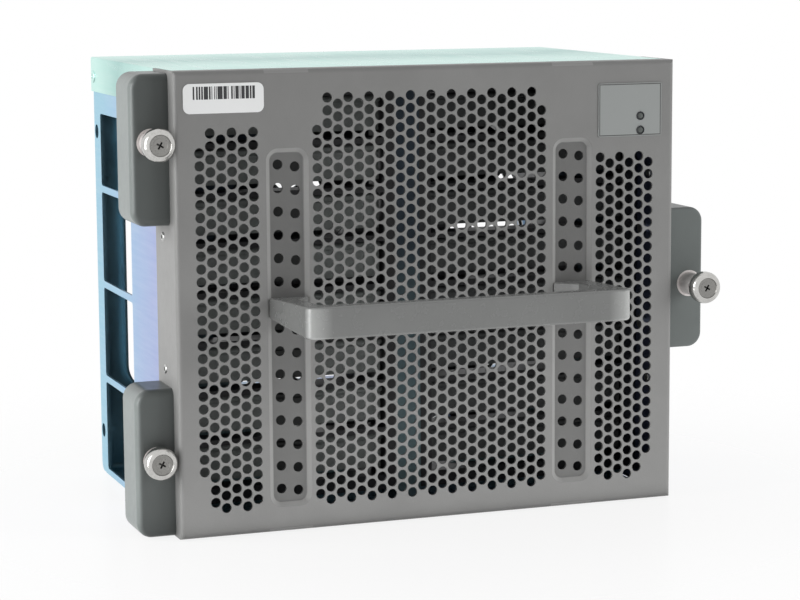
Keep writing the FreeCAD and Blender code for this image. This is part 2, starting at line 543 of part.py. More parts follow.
sleeves = []
ear_screws = []
for ear, side in EAR_SIDE.items():
    edge = "panel_w / 2" if side > 0 else f"-panel_w / 2 - {EAR_W[ear]}"
    middle_z = EAR_ZS[ear]
    block = box(f"{ear}_block", (edge, f"{edge} + {EAR_W[ear]}"), (EAR_FACE, EAR_BACK),
                (f"{middle_z} - ear_h / 2", f"{middle_z} + ear_h / 2"))
    outside = number(f"{side} * (panel_w / 2 + {EAR_W[ear]})")
    block = fillet(f"{ear}_corners", block, "ear_r",
                   lambda e: runs_along(e, "Y") and lies_at(e, "X", outside))
    ear_face, joint = number(EAR_FACE), side * number("panel_w / 2")
    block = fillet(f"{ear}_edges", block, EAR_EDGE[ear],
                   lambda e: lies_at(e, "Y", ear_face) and not lies_at(e, "X", joint))
    at = (KNOB_X[ear], KNOB_Z[ear])
    well = rod(f"{ear}_well", "Y", "sleeve_d / 2", EAR_FACE, WELL_END, at)
    throat = rod(f"{ear}_throat", "Y", "thread_d / 2 + gap", EAR_FACE, EAR_BACK, at)
    bores = []
    for up in (-1, 1):
        screw_z = f"{middle_z} + {up} * ear_screw_pitch / 2"
        screw_at = (EAR_SCREW_Y, screw_z)
        span = mirrored(side, "panel_w / 2 - ear_screw_len", "panel_w / 2 + ear_screw_len")
        bores.append(rod(f"{ear}_bore_{up + 1}", "X", "ear_screw_d / 2", *span, screw_at))
        span = mirrored(side, WALL_IN, "panel_w / 2 + ear_screw_len")
        stem = rod(f"{ear}_stem_{up + 1}", "X", "ear_screw_d / 2", *span, screw_at)
        span = mirrored(side, f"{WALL_IN} - head_t", WALL_IN)
        head = rod(f"{ear}_head_{up + 1}", "X", "ear_screw_d * head_share", *span, screw_at)
        ear_screws.append(fuse(f"{ear}_screw_{up + 1}", [stem, head]))
    node(f"ear_{ear}", cut(f"ear_{ear}", block, [well, throat] + bores))
    sleeves.append(turned(f"{ear}_sleeve",
                          ring_points("skirt_d / 2 + fit", "sleeve_d / 2", EAR_FACE, SLEEVE_END), at))

    knob_back = f"{EAR_FACE} - gap - {PULL[ear]}"
    knob_front = f"{knob_back} - knob_t"
    ring_front = f"{knob_back} + sleeve_len + screw_travel + 2 * gap"
    ring_back = f"{ring_front} + ring_t"
    skirt_end = f"{ring_back} + gap"
    ring = turned(f"{ear}_ring",
                  ring_points("skirt_d / 2 - ring_groove + fit", "ring_d / 2", ring_front, ring_back), at)
    node(f"retaining_ring_{ear}", ring)
    tip = f"{EAR_BACK} + thread_out - {PULL[ear]}"
    thread_end = f"{tip} - thread_tip"
    knob = turned(f"{ear}_knob", [
        ("0", f"{knob_front} + knob_dish"), ("knob_face_d / 2", f"{knob_front} + knob_dish"),
        ("knob_face_d / 2", knob_front), ("knob_face_d / 2 + knob_rim", knob_front),
        ("knob_face_d / 2 + knob_step", f"{knob_front} + knob_step"),
        ("knob_d / 2 - knob_edge", f"{knob_front} + knob_step"),
        ("knob_d / 2", f"{knob_front} + knob_step + knob_edge"), ("knob_d / 2", f"{knob_back} - knob_edge"),
        ("knob_d / 2 - knob_edge", knob_back), ("skirt_d / 2", knob_back),
        ("skirt_d / 2", f"{ring_front} - fit"), ("skirt_d / 2 - ring_groove", f"{ring_front} - fit"),
        ("skirt_d / 2 - ring_groove", f"{ring_back} + fit"), ("skirt_d / 2", f"{ring_back} + fit"),
        ("skirt_d / 2", skirt_end), ("neck_d / 2", skirt_end), ("neck_d / 2", f"{thread_end} - thread_len"),
        ("thread_d / 2", f"{thread_end} - thread_len"), ("thread_d / 2", thread_end),
        ("thread_d / 2 - thread_tip", tip), ("0", tip)], at)
    slots = [box(f"{ear}_slot_{i}", (f"{at[0]} - {wide} / 2", f"{at[0]} + {wide} / 2"),
                 (knob_front, f"{knob_front} + slot_d"), (f"{at[1]} - {high} / 2", f"{at[1]} + {high} / 2"))
             for i, (wide, high) in enumerate((("slot_len", "slot_w"), ("slot_w", "slot_len")))]
    node(f"thumbscrew_{ear}", cut(f"thumbscrew_{ear}", knob, slots))
node("screw_sleeves", group("screw_sleeves", sleeves))
node("ear_screws", group("ear_screws", ear_screws))

# Side walls: zinc-plated sheets inside the panel's flanges, each with four windows
WINDOW_BACK = depth("body_depth - rear_strip")
WINDOW_FRONT = depth("window_front")
LOCATING_Y = depth("body_depth - locating_hole_in")
COVER_SCREW_Z = "panel_h - cover_flange / 2 - shell_t"
COVER_SCREW_YS = [depth("body_depth - locating_hole_in"), depth("bulkhead_at + rear_flange / 2")]
WINDOW_TOP = "panel_h - window_top_in"
LOWER_WINDOWS_TOP = "(panel_h - window_top_in - first_window - window_bar)"
LOWER_WINDOW = f"(({LOWER_WINDOWS_TOP} - window_bottom_in - 2 * window_bar) / 3)"
window_spans = [(f"{WINDOW_TOP} - first_window", WINDOW_TOP)]
for i in range(3):
    window_high = f"{LOWER_WINDOWS_TOP} - {i} * ({LOWER_WINDOW} + window_bar)"
    window_spans.append((f"{window_high} - {LOWER_WINDOW}", window_high))

for side, name in ((-1, "left_side_wall"), (1, "right_side_wall")):
    beyond = mirrored(side, SKIN_IN, "panel_w / 2")
    sheet = box(f"{name}_sheet", mirrored(side, WALL_IN, WALL_OUT),
                (depth("panel_t + rib_depth"), depth("body_depth")),
                ("panel_t", "panel_h - panel_t"))
    rear_y, floor_z = number(depth("body_depth")), number("panel_t")
    sheet = fillet(f"{name}_corner", sheet, "base_r", lambda e: (
        runs_along(e, "X") and lies_at(e, "Y", rear_y) and lies_at(e, "Z", floor_z)))
    openings = []
    for i, (low, high) in enumerate(window_spans):
        hole = box(f"{name}_window_{i}", beyond, (WINDOW_FRONT, WINDOW_BACK), (low, high))
        openings.append(fillet(f"{name}_window_round_{i}", hole, "window_r", lambda e: runs_along(e, "X")))
    for i, (y, z, bore) in enumerate(FLANGE_HOLES[side]):
        openings.append(rod(f"{name}_hole_{i}", "X", bore, beyond[0], beyond[1], (y, z)))
    for i, z in enumerate(("locating_low", "locating_high")):
        openings.append(rod(f"{name}_locating_{i}", "X", "locating_hole_d / 2", beyond[0], beyond[1],
                            (LOCATING_Y, z)))
    for i, y in enumerate(COVER_SCREW_YS):
        openings.append(rod(f"{name}_cover_{i}", "X", "cover_screw_d / 2 + fit", beyond[0], beyond[1],
                            (y, COVER_SCREW_Z)))
    node(name, cut(name, sheet, openings))

rivets = []
for side in (-1, 1):
    for i, (y, z, bore) in enumerate(FLANGE_HOLES[side][:2]):
        stem = mirrored(side, WALL_IN, "panel_w / 2")
        outside = mirrored(side, "panel_w / 2", "panel_w / 2 + rivet_head_t")
        inside = mirrored(side, f"{WALL_IN} - rivet_head_t", WALL_IN)
        pieces = [rod(f"rivet_stem_{side}_{i}", "X", "rivet_d / 2", *stem, (y, z))]
        for name, span in (("outside", outside), ("inside", inside)):
            pieces.append(rod(f"rivet_{name}_{side}_{i}", "X", "rivet_head / 2", *span, (y, z)))
        rivets.append(fuse(f"rivet_{side}_{i}", pieces))
node("flange_rivets", group("flange_rivets", rivets))

# Top cover: a lid with short side flanges over the walls
lid = [
    box("lid_front", (f"-{WALL_OUT} + gap", f"{WALL_OUT} - gap"),
        (depth("lip_d + gap"), depth("flange_d + gap")),
        (COVER_LOW, "panel_h")),
    box("lid_rear", ("-panel_w / 2 + panel_t - shell_t", "panel_w / 2 - panel_t + shell_t"),
        (depth("flange_d + gap"), depth("body_depth")), (COVER_LOW, "panel_h")),
]
for side in (-1, 1):
    lid.append(box(f"lid_flange_{side + 1}", mirrored(side, WALL_OUT, f"{WALL_OUT} + shell_t"),
                   (depth("flange_d + gap"), depth("body_depth")), ("panel_h - cover_flange", "panel_h")))
lid = fuse("lid", lid)
lid_x = number(f"{WALL_OUT} + shell_t")
lid_z = number("panel_h")
lid = fillet("lid_bends", lid, "shell_t * 0.8", lambda e: (
    runs_along(e, "Y") and lies_at(e, "Z", lid_z) and (lies_at(e, "X", lid_x) or lies_at(e, "X", -lid_x))))
cover_holes = []
cover_screws = []
for side in (-1, 1):
    for i, y in enumerate(COVER_SCREW_YS):
        at = (y, COVER_SCREW_Z)
        out = f"{WALL_OUT} + shell_t"
        hole = mirrored(side, WALL_OUT, out)
        stem = mirrored(side, f"{WALL_IN} - 2 * shell_t", out)
        cap = mirrored(side, out, f"{out} + cover_screw_t")
        cover_holes.append(rod(f"cover_hole_{side}_{i}", "X", "cover_screw_d / 2 + fit", *hole, at))
        cover_screws.append(fuse(f"cover_screw_{side}_{i}", [
            rod(f"cover_stem_{side}_{i}", "X", "cover_screw_d / 2", *stem, at),
            rod(f"cover_cap_{side}_{i}", "X", "cover_screw_head / 2", *cap, at)]))
node("top_cover", cut("top_cover", lid, cover_holes))
node("cover_screws", group("cover_screws", cover_screws))

# Base pan: floor and rear wall bent from one sheet, with a lipped opening and a connector window
REAR_IN = depth("body_depth - shell_t")
REAR = depth("body_depth")
pan_block = box("pan_block", (f"-{WALL_IN}", WALL_IN), (depth("lip_d + gap"), REAR), ("0", COVER_LOW))
rear_y = number(REAR)
pan_block = fillet("pan_bend", pan_block, "base_r", lambda e: (
    runs_along(e, "X") and lies_at(e, "Y", rear_y) and lies_at(e, "Z", 0)))
pan_inside = box("pan_inside", ("-panel_w", "panel_w"), (depth("0"), REAR_IN), ("shell_t", "panel_h"))
inner_y, inner_z = number(REAR_IN), number("shell_t")
pan_inside = fillet("pan_inside_bend", pan_inside, "base_r - shell_t", lambda e: (
    runs_along(e, "X") and lies_at(e, "Y", inner_y) and lies_at(e, "Z", inner_z)))
pan = cut("pan_sheet", pan_block, [pan_inside])
rear_flanges = []
for side in (-1, 1):
    rear_flanges.append(box(f"rear_flange_{side + 1}", mirrored(side, f"{WALL_IN} - shell_t", WALL_IN),
                            (depth("body_depth - rear_flange"), REAR_IN), ("base_r", COVER_LOW)))
OPEN_X = "(panel_w / 2 - opening_side_in)"
OPEN_TOP = "panel_h - opening_top_in"


def rear_block(name, grow, start, end):
    block = box(name, (f"-{OPEN_X} - {grow}", f"{OPEN_X} + {grow}"), (start, end),
                (f"opening_bottom - {grow}", f"{OPEN_TOP} + {grow}"))
    return fillet(name + "_round", block, f"opening_r + {grow}", lambda e: runs_along(e, "Y"))


collar = rear_block("collar", "shell_t", depth("body_depth - opening_lip"), REAR_IN)
mouth = rear_block("mouth", "0", depth("body_depth - 2 * opening_lip"), depth("body_depth + shell_t"))
CONNECTOR_LOW = "(shell_t + board_rise + board_t)"
connector_window = box("connector_window", ("-connector_w / 2 - gap", "connector_w / 2 + gap"),
                       (REAR_IN, depth("body_depth + shell_t")),
                       (f"{CONNECTOR_LOW} - gap", f"{CONNECTOR_LOW} + connector_h + gap"))
pan_tools = [mouth, connector_window]
for side in (-1, 1):
    span = mirrored(side, SKIN_IN, "panel_w / 2")
    for i, z in enumerate(("locating_low", "locating_high")):
        pan_tools.append(rod(f"pan_locating_{side}_{i}", "X", "locating_hole_d / 2", *span, (LOCATING_Y, z)))
    pan_tools.append(rod(f"pan_cover_{side}", "X", "cover_screw_d / 2 + fit", *span,
                         (COVER_SCREW_YS[0], COVER_SCREW_Z)))
node("base_pan", cut("base_pan", fuse("pan_whole", [pan, collar] + rear_flanges), pan_tools))

# Bulkhead that carries the fan and the flap frames
bulkhead = [box("bulkhead_sheet", (f"-{WALL_IN}", WALL_IN), (depth("bulkhead_at"), depth(FAN_FRONT)),
                ("shell_t", COVER_LOW))]
for side in (-1, 1):
    bulkhead.append(box(f"bulkhead_flange_{side + 1}", mirrored(side, f"{WALL_IN} - shell_t", WALL_IN),
                        (depth("bulkhead_at"), depth("bulkhead_at + rear_flange")), ("shell_t", COVER_LOW)))
FAN_HOLES = [(f"{sx} * ({FAN_SIZE} / 2 - fan_hole_in)", f"{MID} + {sz} * ({FAN_SIZE} / 2 - fan_hole_in)")
             for sx in (-1, 1) for sz in (-1, 1)]
THIN_X = f"({WALL_IN} - lead_clear)"
THIN_Z = f"({COVER_LOW} - thin_lead_d)"
THROUGH = (depth("bulkhead_at - 1"), depth(f"{FAN_FRONT} + 1"))
bulkhead_tools = [rod("bulkhead_throat", "Y", FAN_BORE, *THROUGH, ("0", MID))]
for i, at in enumerate(FAN_HOLES):
    bulkhead_tools.append(rod(f"bulkhead_hole_{i}", "Y", "fan_screw_d / 2 + fit", *THROUGH, at))
bulkhead_tools.append(box("bulkhead_notch", (f"{THIN_X} - thin_lead_d", f"{THIN_X} + thin_lead_d"),
                          THROUGH, (f"{THIN_Z} - thin_lead_d", "panel_h")))
for side in (-1, 1):
    bulkhead_tools.append(rod(f"bulkhead_cover_{side}", "X", "cover_screw_d / 2 + fit",
                              *mirrored(side, SKIN_IN, "panel_w / 2"), (COVER_SCREW_YS[1], COVER_SCREW_Z)))
node("fan_bulkhead", cut("fan_bulkhead", fuse("bulkhead_whole", bulkhead), bulkhead_tools))

# Centre post: a channel between the two banks of flaps, welded to the bulkhead
post = box("post_block", ("-post_w / 2", "post_w / 2"), (depth("post_front"), depth("bulkhead_at")),
           ("panel_t", f"{COVER_LOW} - gap"))
hollow = box("post_hollow", ("shell_t - post_w / 2", "post_w / 2 - shell_t"),
             (depth("post_front + shell_t"), depth("bulkhead_at + 1")),
             ("0", "panel_h"))
node("centre_post", cut("centre_post", post, [hollow]))

# Flap frames and flaps: two banks, each flap hung on stub pins along its upper edge
FRAME_LOW = "(damper_margin - frame_rail)"
FRAME_HIGH = "(panel_h - damper_margin + frame_rail)"
FRAME_IN = "(post_w / 2 + gap)"
FRAME_OUT = f"({WALL_IN} - gap)"
PIVOT_Y = depth("(frame_front + bulkhead_at) / 2 - flap_barrel / 2")

for side, bank in ((-1, "left"), (1, "right")):
    block = box(f"frame_{bank}", mirrored(side, FRAME_IN, FRAME_OUT),
                (depth("frame_front"), depth("bulkhead_at")),
                (FRAME_LOW, FRAME_HIGH))
    tools = []
    stops = []
    window = mirrored(side, f"{FRAME_IN} + frame_stile", f"{FRAME_OUT} - frame_stile")
    for row in range(FLAP_ROWS):
        high = f"(panel_h - damper_margin - {row} * {FLAP_PITCH} - cross_bar / 2)"
        low = f"(panel_h - damper_margin - {row + 1} * {FLAP_PITCH} + cross_bar / 2)"
        pivot_z = f"({high} - flap_top_gap - flap_barrel / 2)"
        tools.append(box(f"frame_{bank}_window_{row}", window,
                         (depth("frame_front - 1"), depth("bulkhead_at + 1")), (low, high)))
        tools.append(rod(f"frame_{bank}_pivot_{row}", "X", "flap_pin / 2 + fit",
                         f"{window[0]} - flap_pin_len",
                         f"{window[1]} + flap_pin_len", (PIVOT_Y, pivot_z)))
        for end, x in (("a", (window[0], f"{window[0]} + stop_w")),
                       ("b", (f"{window[1]} - stop_w", window[1]))):
            stops.append(box(f"frame_{bank}_stop_{row}{end}", x,
                             (f"{PIVOT_Y} + flap_t / 2 + gap", depth("bulkhead_at")),
                             (low, f"{low} + flap_low_gap + stop_h")))
        leaf_x = (f"{window[0]} + flap_side_gap", f"{window[1]} - flap_side_gap")
        leaf = box(f"leaf_{bank}_{row}", leaf_x, (f"{PIVOT_Y} - flap_t / 2", f"{PIVOT_Y} + flap_t / 2"),
                   (f"{low} + flap_low_gap", pivot_z))
        barrel = rod(f"barrel_{bank}_{row}", "X", "flap_barrel / 2", leaf_x[0], leaf_x[1],
                     (PIVOT_Y, pivot_z))
        pin = rod(f"pin_{bank}_{row}", "X", "flap_pin / 2", f"{window[0]} - flap_pin_len + gap",
                  f"{window[1]} + flap_pin_len - gap", (PIVOT_Y, pivot_z))
        node(f"flap_{bank}_{row + 1}", fuse(f"flap_{bank}_{row + 1}", [leaf, barrel, pin]))
    framed = cut(f"frame_{bank}_cut", block, tools)
    node(f"damper_frame_{bank}", fuse(f"damper_frame_{bank}", [framed] + stops))

# Fan: housing with struts and bearing tube
FAN_HALF = f"({FAN_SIZE} / 2)"
BASE_BACK = f"({FAN_FRONT} + strut_d)"
TUBE_R = "(bearing_d / 2 + tube_wall)"
HUB_FRONT = f"({BASE_BACK} + hub_clear)"
HUB_BACK = f"({FAN_BACK} - hub_back_in)"
CUP_BACK = f"({HUB_BACK} - hub_wall)"
TUBE_BACK = f"({CUP_BACK} - cup_t - tube_clear)"
fan_ends = []
for name, start, end in (("front", FAN_FRONT, f"{FAN_FRONT} + fan_flange"),
                         ("rear", f"{FAN_BACK} - fan_flange", FAN_BACK)):
    square = box(f"fan_{name}_square", (f"-{FAN_HALF}", FAN_HALF), (depth(start), depth(end)),
                 (f"{MID} - {FAN_HALF}", f"{MID} + {FAN_HALF}"))
    fan_ends.append(fillet(f"fan_{name}_round", square, "fan_corner_r", lambda e: runs_along(e, "Y")))
barrel = rod("fan_barrel", "Y", FAN_HALF, depth(FAN_FRONT), depth(FAN_BACK), ("0", MID))
LEAD_X = f"({FAN_HALF} - lead_in_x)"
LEAD_Z = f"({MID} - {FAN_HALF} + lead_in_z)"
fan_tools = [rod("fan_bore", "Y", FAN_BORE, depth(f"{FAN_FRONT} - 1"), depth(f"{FAN_BACK} + 1"),
                 ("0", MID))]
for i, at in enumerate(FAN_HOLES):
    fan_tools.append(rod(f"fan_hole_{i}", "Y", "fan_screw_d / 2", depth(f"{FAN_FRONT} - 1"),
                         depth(f"{FAN_BACK} + 1"), at))
fan_tools.append(rod("fan_lead_hole", "Y", "lead_d / 2 + fit", depth(f"{FAN_BACK} - fan_flange - 1"),
                     depth(f"{FAN_BACK} + 1"), (LEAD_X, LEAD_Z)))
ring = cut("fan_ring", fuse("fan_shell", fan_ends + [barrel]), fan_tools)
strut_span = (depth(FAN_FRONT), depth(BASE_BACK))
reach = f"({FAN_BORE} + 1)"
spider = [
    box("strut_x", (f"-{reach}", reach), strut_span, (f"{MID} - strut_w / 2", f"{MID} + strut_w / 2")),
    box("strut_z", ("-strut_w / 2", "strut_w / 2"), strut_span, (f"{MID} - {reach}", f"{MID} + {reach}")),
    rod("motor_base", "Y", "hub_d / 2", depth(FAN_FRONT), depth(BASE_BACK), ("0", MID)),
    rod("bearing_tube", "Y", TUBE_R, depth(FAN_FRONT), depth(TUBE_BACK), ("0", MID)),
]
tube_bore = rod("tube_bore", "Y", "bearing_d / 2", depth(f"{FAN_FRONT} + tube_floor"),
                depth(f"{TUBE_BACK} + 1"), ("0", MID))
node("fan_housing", cut("fan_housing", fuse("fan_body", [ring] + spider), [tube_bore]))

fan_screws = []
for i, at in enumerate(FAN_HOLES):
    fan_screws.append(fuse(f"fan_screw_{i}", [
        rod(f"fan_stem_{i}", "Y", "fan_screw_d / 2", depth("bulkhead_at"),
            depth(f"{FAN_FRONT} + fan_flange"), at),
        rod(f"fan_nut_{i}", "Y", "fan_screw_d * head_share", depth(f"{FAN_FRONT} + fan_flange"),
            depth(f"{FAN_FRONT} + fan_flange + nut_t"), at)]))
node("fan_screws", group("fan_screws", fan_screws))

# Motor: bearings, shaft, stator, and the turning cup with its magnet
bearing_fronts = [f"{FAN_FRONT} + bearing_in", f"{TUBE_BACK} - bearing_t - bearing_back_in"]
bearings = [turned(f"bearing_{i}",
                   ring_points("shaft_d / 2 + fit", "bearing_d / 2", depth(y), depth(f"{y} + bearing_t")))
            for i, y in enumerate(bearing_fronts)]
node("fan_bearings", group("fan_bearings", bearings))
node("rotor_shaft", turned("rotor_shaft", [
    ("0", depth(f"{FAN_FRONT} + shaft_in")), ("shaft_d / 2", depth(f"{FAN_FRONT} + shaft_in")),
    ("shaft_d / 2", depth(CUP_BACK)), ("0", depth(CUP_BACK))]))
CUP_OUT = "(hub_d / 2 - hub_wall)"
MAGNET_OUT = "(hub_d / 2 - hub_wall - cup_t)"
MAGNET_IN = "(hub_d / 2 - hub_wall - cup_t - magnet_t)"
STATOR_OUT = "(hub_d / 2 - hub_wall - cup_t - magnet_t - air_gap)"
CUP_FRONT = f"({HUB_FRONT} + hub_clear)"
node("rotor_cup", turned("rotor_cup", [
    (MAGNET_OUT, depth(CUP_FRONT)), (CUP_OUT, depth(CUP_FRONT)), (CUP_OUT, depth(CUP_BACK)),
    ("shaft_d / 2", depth(CUP_BACK)), ("shaft_d / 2", depth(f"{CUP_BACK} - cup_t")),
    (MAGNET_OUT, depth(f"{CUP_BACK} - cup_t"))]))
node("rotor_magnet", turned("rotor_magnet", ring_points(
    MAGNET_IN, MAGNET_OUT, depth(f"{CUP_FRONT} + magnet_in"), depth(f"{CUP_BACK} - cup_t - magnet_in"))))
STATOR_SPAN = (depth(f"{CUP_FRONT} + stator_in"), depth(f"{TUBE_BACK} - stator_back_in"))
core = turned("stator_core", ring_points(TUBE_R, f"({TUBE_R} + stator_core_t)", *STATOR_SPAN))
teeth = []
for i in range(STATOR_ARMS):
    tooth = box(f"tooth_{i}", (f"{TUBE_R} + stator_core_t / 2", f"{STATOR_OUT} - shoe_t"),
                (f"{STATOR_SPAN[0]} + tooth_in", f"{STATOR_SPAN[1]} - tooth_in"),
                ("-tooth_w / 2", "tooth_w / 2"))
    shoe = box(f"shoe_{i}", (f"{STATOR_OUT} - 1.5 * shoe_t", f"{STATOR_OUT} - shoe_t / 2"), STATOR_SPAN,
               ("-shoe_w / 2", "shoe_w / 2"))
    arm = fuse(f"arm_{i}", [tooth, shoe])
    turn = doc.addObject("Part::Compound", f"arm_turned_{i}")
    turn.Links = [arm]
    turn.Placement = Placement(Vector(), Rotation(Vector(0, 1, 0), (i + 0.5) * 360 / STATOR_ARMS))
    bind(turn, Placement__Base__z=MID)
    teeth.append(turn)
node("fan_stator", fuse("fan_stator", [core] + teeth))

# Impeller: a hub over the cup, and twisted blades
hub = turned("impeller_hub", [
    (CUP_OUT, depth(HUB_FRONT)), ("hub_d / 2", depth(HUB_FRONT)),
    ("hub_d / 2", depth(f"{HUB_BACK} - hub_round")), ("hub_d / 2 - hub_round", depth(HUB_BACK)),
    ("0", depth(HUB_BACK)), ("0", depth(CUP_BACK)), (CUP_OUT, depth(CUP_BACK))])


def blade_section(radius, chord, angle, thick, middle_y):
    """A thin curved blade section on the plane X = radius."""
    lean = math.radians(angle)
    along = Vector(0, math.sin(lean), math.cos(lean))
    across = Vector(0, math.cos(lean), -math.sin(lean))
    centre = Vector(radius, middle_y, 0)
    bow = BLADE_BOW * chord
    nose, tail = centre - along * chord / 2, centre + along * chord / 2
    outside = Part.Arc(nose, centre + across * (bow + thick / 2), tail)
    inside = Part.Arc(tail, centre + across * (bow - thick / 2), nose)
    return Part.Wire([outside.toShape(), inside.toShape()])


def blades():
    root, tip = number("hub_d / 2 - hub_wall / 2"), number(f"{FAN_BORE} - tip_gap")
    middle_y = number(depth(f"({HUB_FRONT} + {HUB_BACK}) / 2"))
    span = number(f"{HUB_BACK} - {HUB_FRONT}")
    chord, thick, turn = number("blade_chord"), number("blade_t"), number("blade_turn")
    overrun = number("blade_overrun")
    radii = (root - overrun, (root + tip) / 2, tip + overrun)
    sections = [blade_section(radius, chord * share, turn + extra, thick * swell, middle_y)
                for radius, (share, extra, swell) in zip(radii, BLADE_SECTIONS)]
    blank = Part.makeLoft(sections, True, False)
    axis = Vector(0, 1, 0)
    outer = Part.makeCylinder(tip, span, Vector(0, middle_y - span / 2, 0), axis)
    inner = Part.makeCylinder(root, span, Vector(0, middle_y - span / 2, 0), axis)
    blade = blank.common(outer).cut(inner)
    turned_blades = []
    for i in range(BLADES):
        copy = blade.copy()
        copy.rotate(Vector(), axis, i * 360 / BLADES)
        copy.translate(Vector(0, 0, number(MID)))
        turned_blades.append(copy)
    return Part.makeCompound(turned_blades)


blade_set = doc.addObject("Part::Feature", "blade_set")
blade_set.Shape = blades()
node("fan_impeller", fuse("fan_impeller", [hub, blade_set]))

# Wire guard over the fan's open side: rings on four spokes from a small hub to feet on the housing's corners
GUARD_Y = depth(f"{FAN_BACK} + guard_stand")
guard = []
ring_count = int(number(f"({FAN_BORE} - guard_first_r) / guard_pitch")) + 1
for i in range(ring_count):
    wire = doc.addObject("Part::Torus", f"guard_ring_{i}")
    wire.Placement = Placement(Vector(), TURNS["Y"])
    bind(wire, Radius1=f"guard_first_r + {i} * guard_pitch", Radius2="guard_wire / 2")
    bind(wire, Placement__Base__y=GUARD_Y, Placement__Base__z=MID)
    guard.append(wire)
DIAGONAL = f"(({FAN_HALF} - fan_hole_in) * {math.sqrt(2):.6f})"
for i, angle in enumerate((45, 135, 225, 315)):
    spoke = doc.addObject("Part::Cylinder", f"guard_spoke_{i}")
    spoke.Placement = Placement(Vector(), Rotation(Vector(0, 1, 0), angle))
    bind(spoke, Radius="guard_wire / 2", Height=f"{DIAGONAL} - guard_hub / 2")
    sine, cosine = math.sin(math.radians(angle)), math.cos(math.radians(angle))
    bind(spoke, Placement__Base__x=f"guard_hub / 2 * ({sine:.6f})")
    bind(spoke, Placement__Base__y=f"{GUARD_Y} - guard_sink")
    bind(spoke, Placement__Base__z=f"{MID} + guard_hub / 2 * ({cosine:.6f})")
    guard.append(spoke)
guard.append(rod("guard_hub_disc", "Y", "guard_hub", f"{GUARD_Y} - 3 * guard_sink",
                 f"{GUARD_Y} + guard_sink / 2", ("0", MID)))
for i, at in enumerate(FAN_HOLES):
    guard.append(rod(f"guard_foot_{i}", "Y", "fan_screw_d", depth(FAN_BACK),
                     f"{GUARD_Y} + guard_wire / 2", at))
node("wire_guard", fuse("wire_guard", guard))

# Control board on standoffs over the floor, with the connector in the rear wall
BOARD_LOW = "(shell_t + board_rise)"
BOARD_TOP = "(shell_t + board_rise + board_t)"
BOARD_Y = (depth(f"{FAN_BACK} + guard_stand + guard_wire"), depth("body_depth - board_back_in"))
board_screws = [(f"{sx} * (board_w / 2 - board_screw)", f"{y} {sign} board_screw")
                for sx in (-1, 1) for y, sign in ((BOARD_Y[0], "+"), (BOARD_Y[1], "-"))]
board = box("board_sheet", ("-board_w / 2", "board_w / 2"), BOARD_Y, (BOARD_LOW, BOARD_TOP))
board_holes = [rod(f"board_hole_{i}", "Z", "board_screw_d / 2 + fit", BOARD_LOW, BOARD_TOP, at)
               for i, at in enumerate(board_screws)]
node("control_board", cut("control_board", board, board_holes))
standoffs = []
for i, at in enumerate(board_screws):
    standoffs.append(fuse(f"standoff_{i}", [
        rod(f"standoff_post_{i}", "Z", "standoff_d / 2", "shell_t", BOARD_LOW, at),
        rod(f"standoff_stem_{i}", "Z", "board_screw_d / 2", BOARD_LOW, BOARD_TOP, at),
        rod(f"standoff_cap_{i}", "Z", "board_screw_head / 2", BOARD_TOP, f"{BOARD_TOP} + head_t", at)]))
node("board_standoffs", group("board_standoffs", standoffs))

BOARD_MID = f"(({BOARD_Y[0]}) / 2 + ({BOARD_Y[1]}) / 2)"
CHIP_X = "(chip_in - board_w / 2)"
CHOKE_X = "(board_w / 2 - choke_in)"
CHOKE_Y = f"({BOARD_MID} + choke_back)"
CAPACITOR_Y = f"({BOARD_MID} - capacitor_front)"
CAPACITOR_TOP = f"{BOARD_TOP} + capacitor_h"
chips = [
    box("controller_chip", (f"{CHIP_X} - chip_w / 2", f"{CHIP_X} + chip_w / 2"),
        (f"{BOARD_MID} - chip_w / 2", f"{BOARD_MID} + chip_w / 2"), (BOARD_TOP, f"{BOARD_TOP} + chip_t")),
    box("choke", (f"{CHOKE_X} - choke_w / 2", f"{CHOKE_X} + choke_w / 2"),
        (f"{CHOKE_Y} - choke_w / 2", f"{CHOKE_Y} + choke_w / 2"), (BOARD_TOP, f"{BOARD_TOP} + choke_w")),
    rod("capacitor_a", "Z", "capacitor_d / 2", BOARD_TOP, CAPACITOR_TOP,
        ("capacitor_in - board_w / 2", CAPACITOR_Y)),
    rod("capacitor_b", "Z", "capacitor_d / 2", BOARD_TOP, CAPACITOR_TOP,
        ("capacitor_d / 2 - connector_w / 2", f"{CAPACITOR_Y} - capacitor_gap")),
]
HEADER_X = "(board_w / 2 - header_in)"
HEADER_Y = f"({BOARD_MID} - header_front)"
DROP_Y = f"({HEADER_Y} + thin_header_back)"
THIN_HEADER_END = f"({HEADER_X} + thin_header_w)"
chips.append(box("fan_header", (f"{HEADER_X} - header_w / 2", f"{HEADER_X} + header_w / 2"),
                 (f"{HEADER_Y} - header_d / 2", f"{HEADER_Y} + header_d / 2"),
                 (BOARD_TOP, f"{LEAD_Z} + lead_d")))
chips.append(box("indicator_header", (HEADER_X, THIN_HEADER_END),
                 (f"{DROP_Y} - thin_header_d / 2", f"{DROP_Y} + thin_header_d / 2"),
                 (BOARD_TOP, f"{BOARD_TOP} + thin_header_h")))
node("board_parts", group("board_parts", chips))

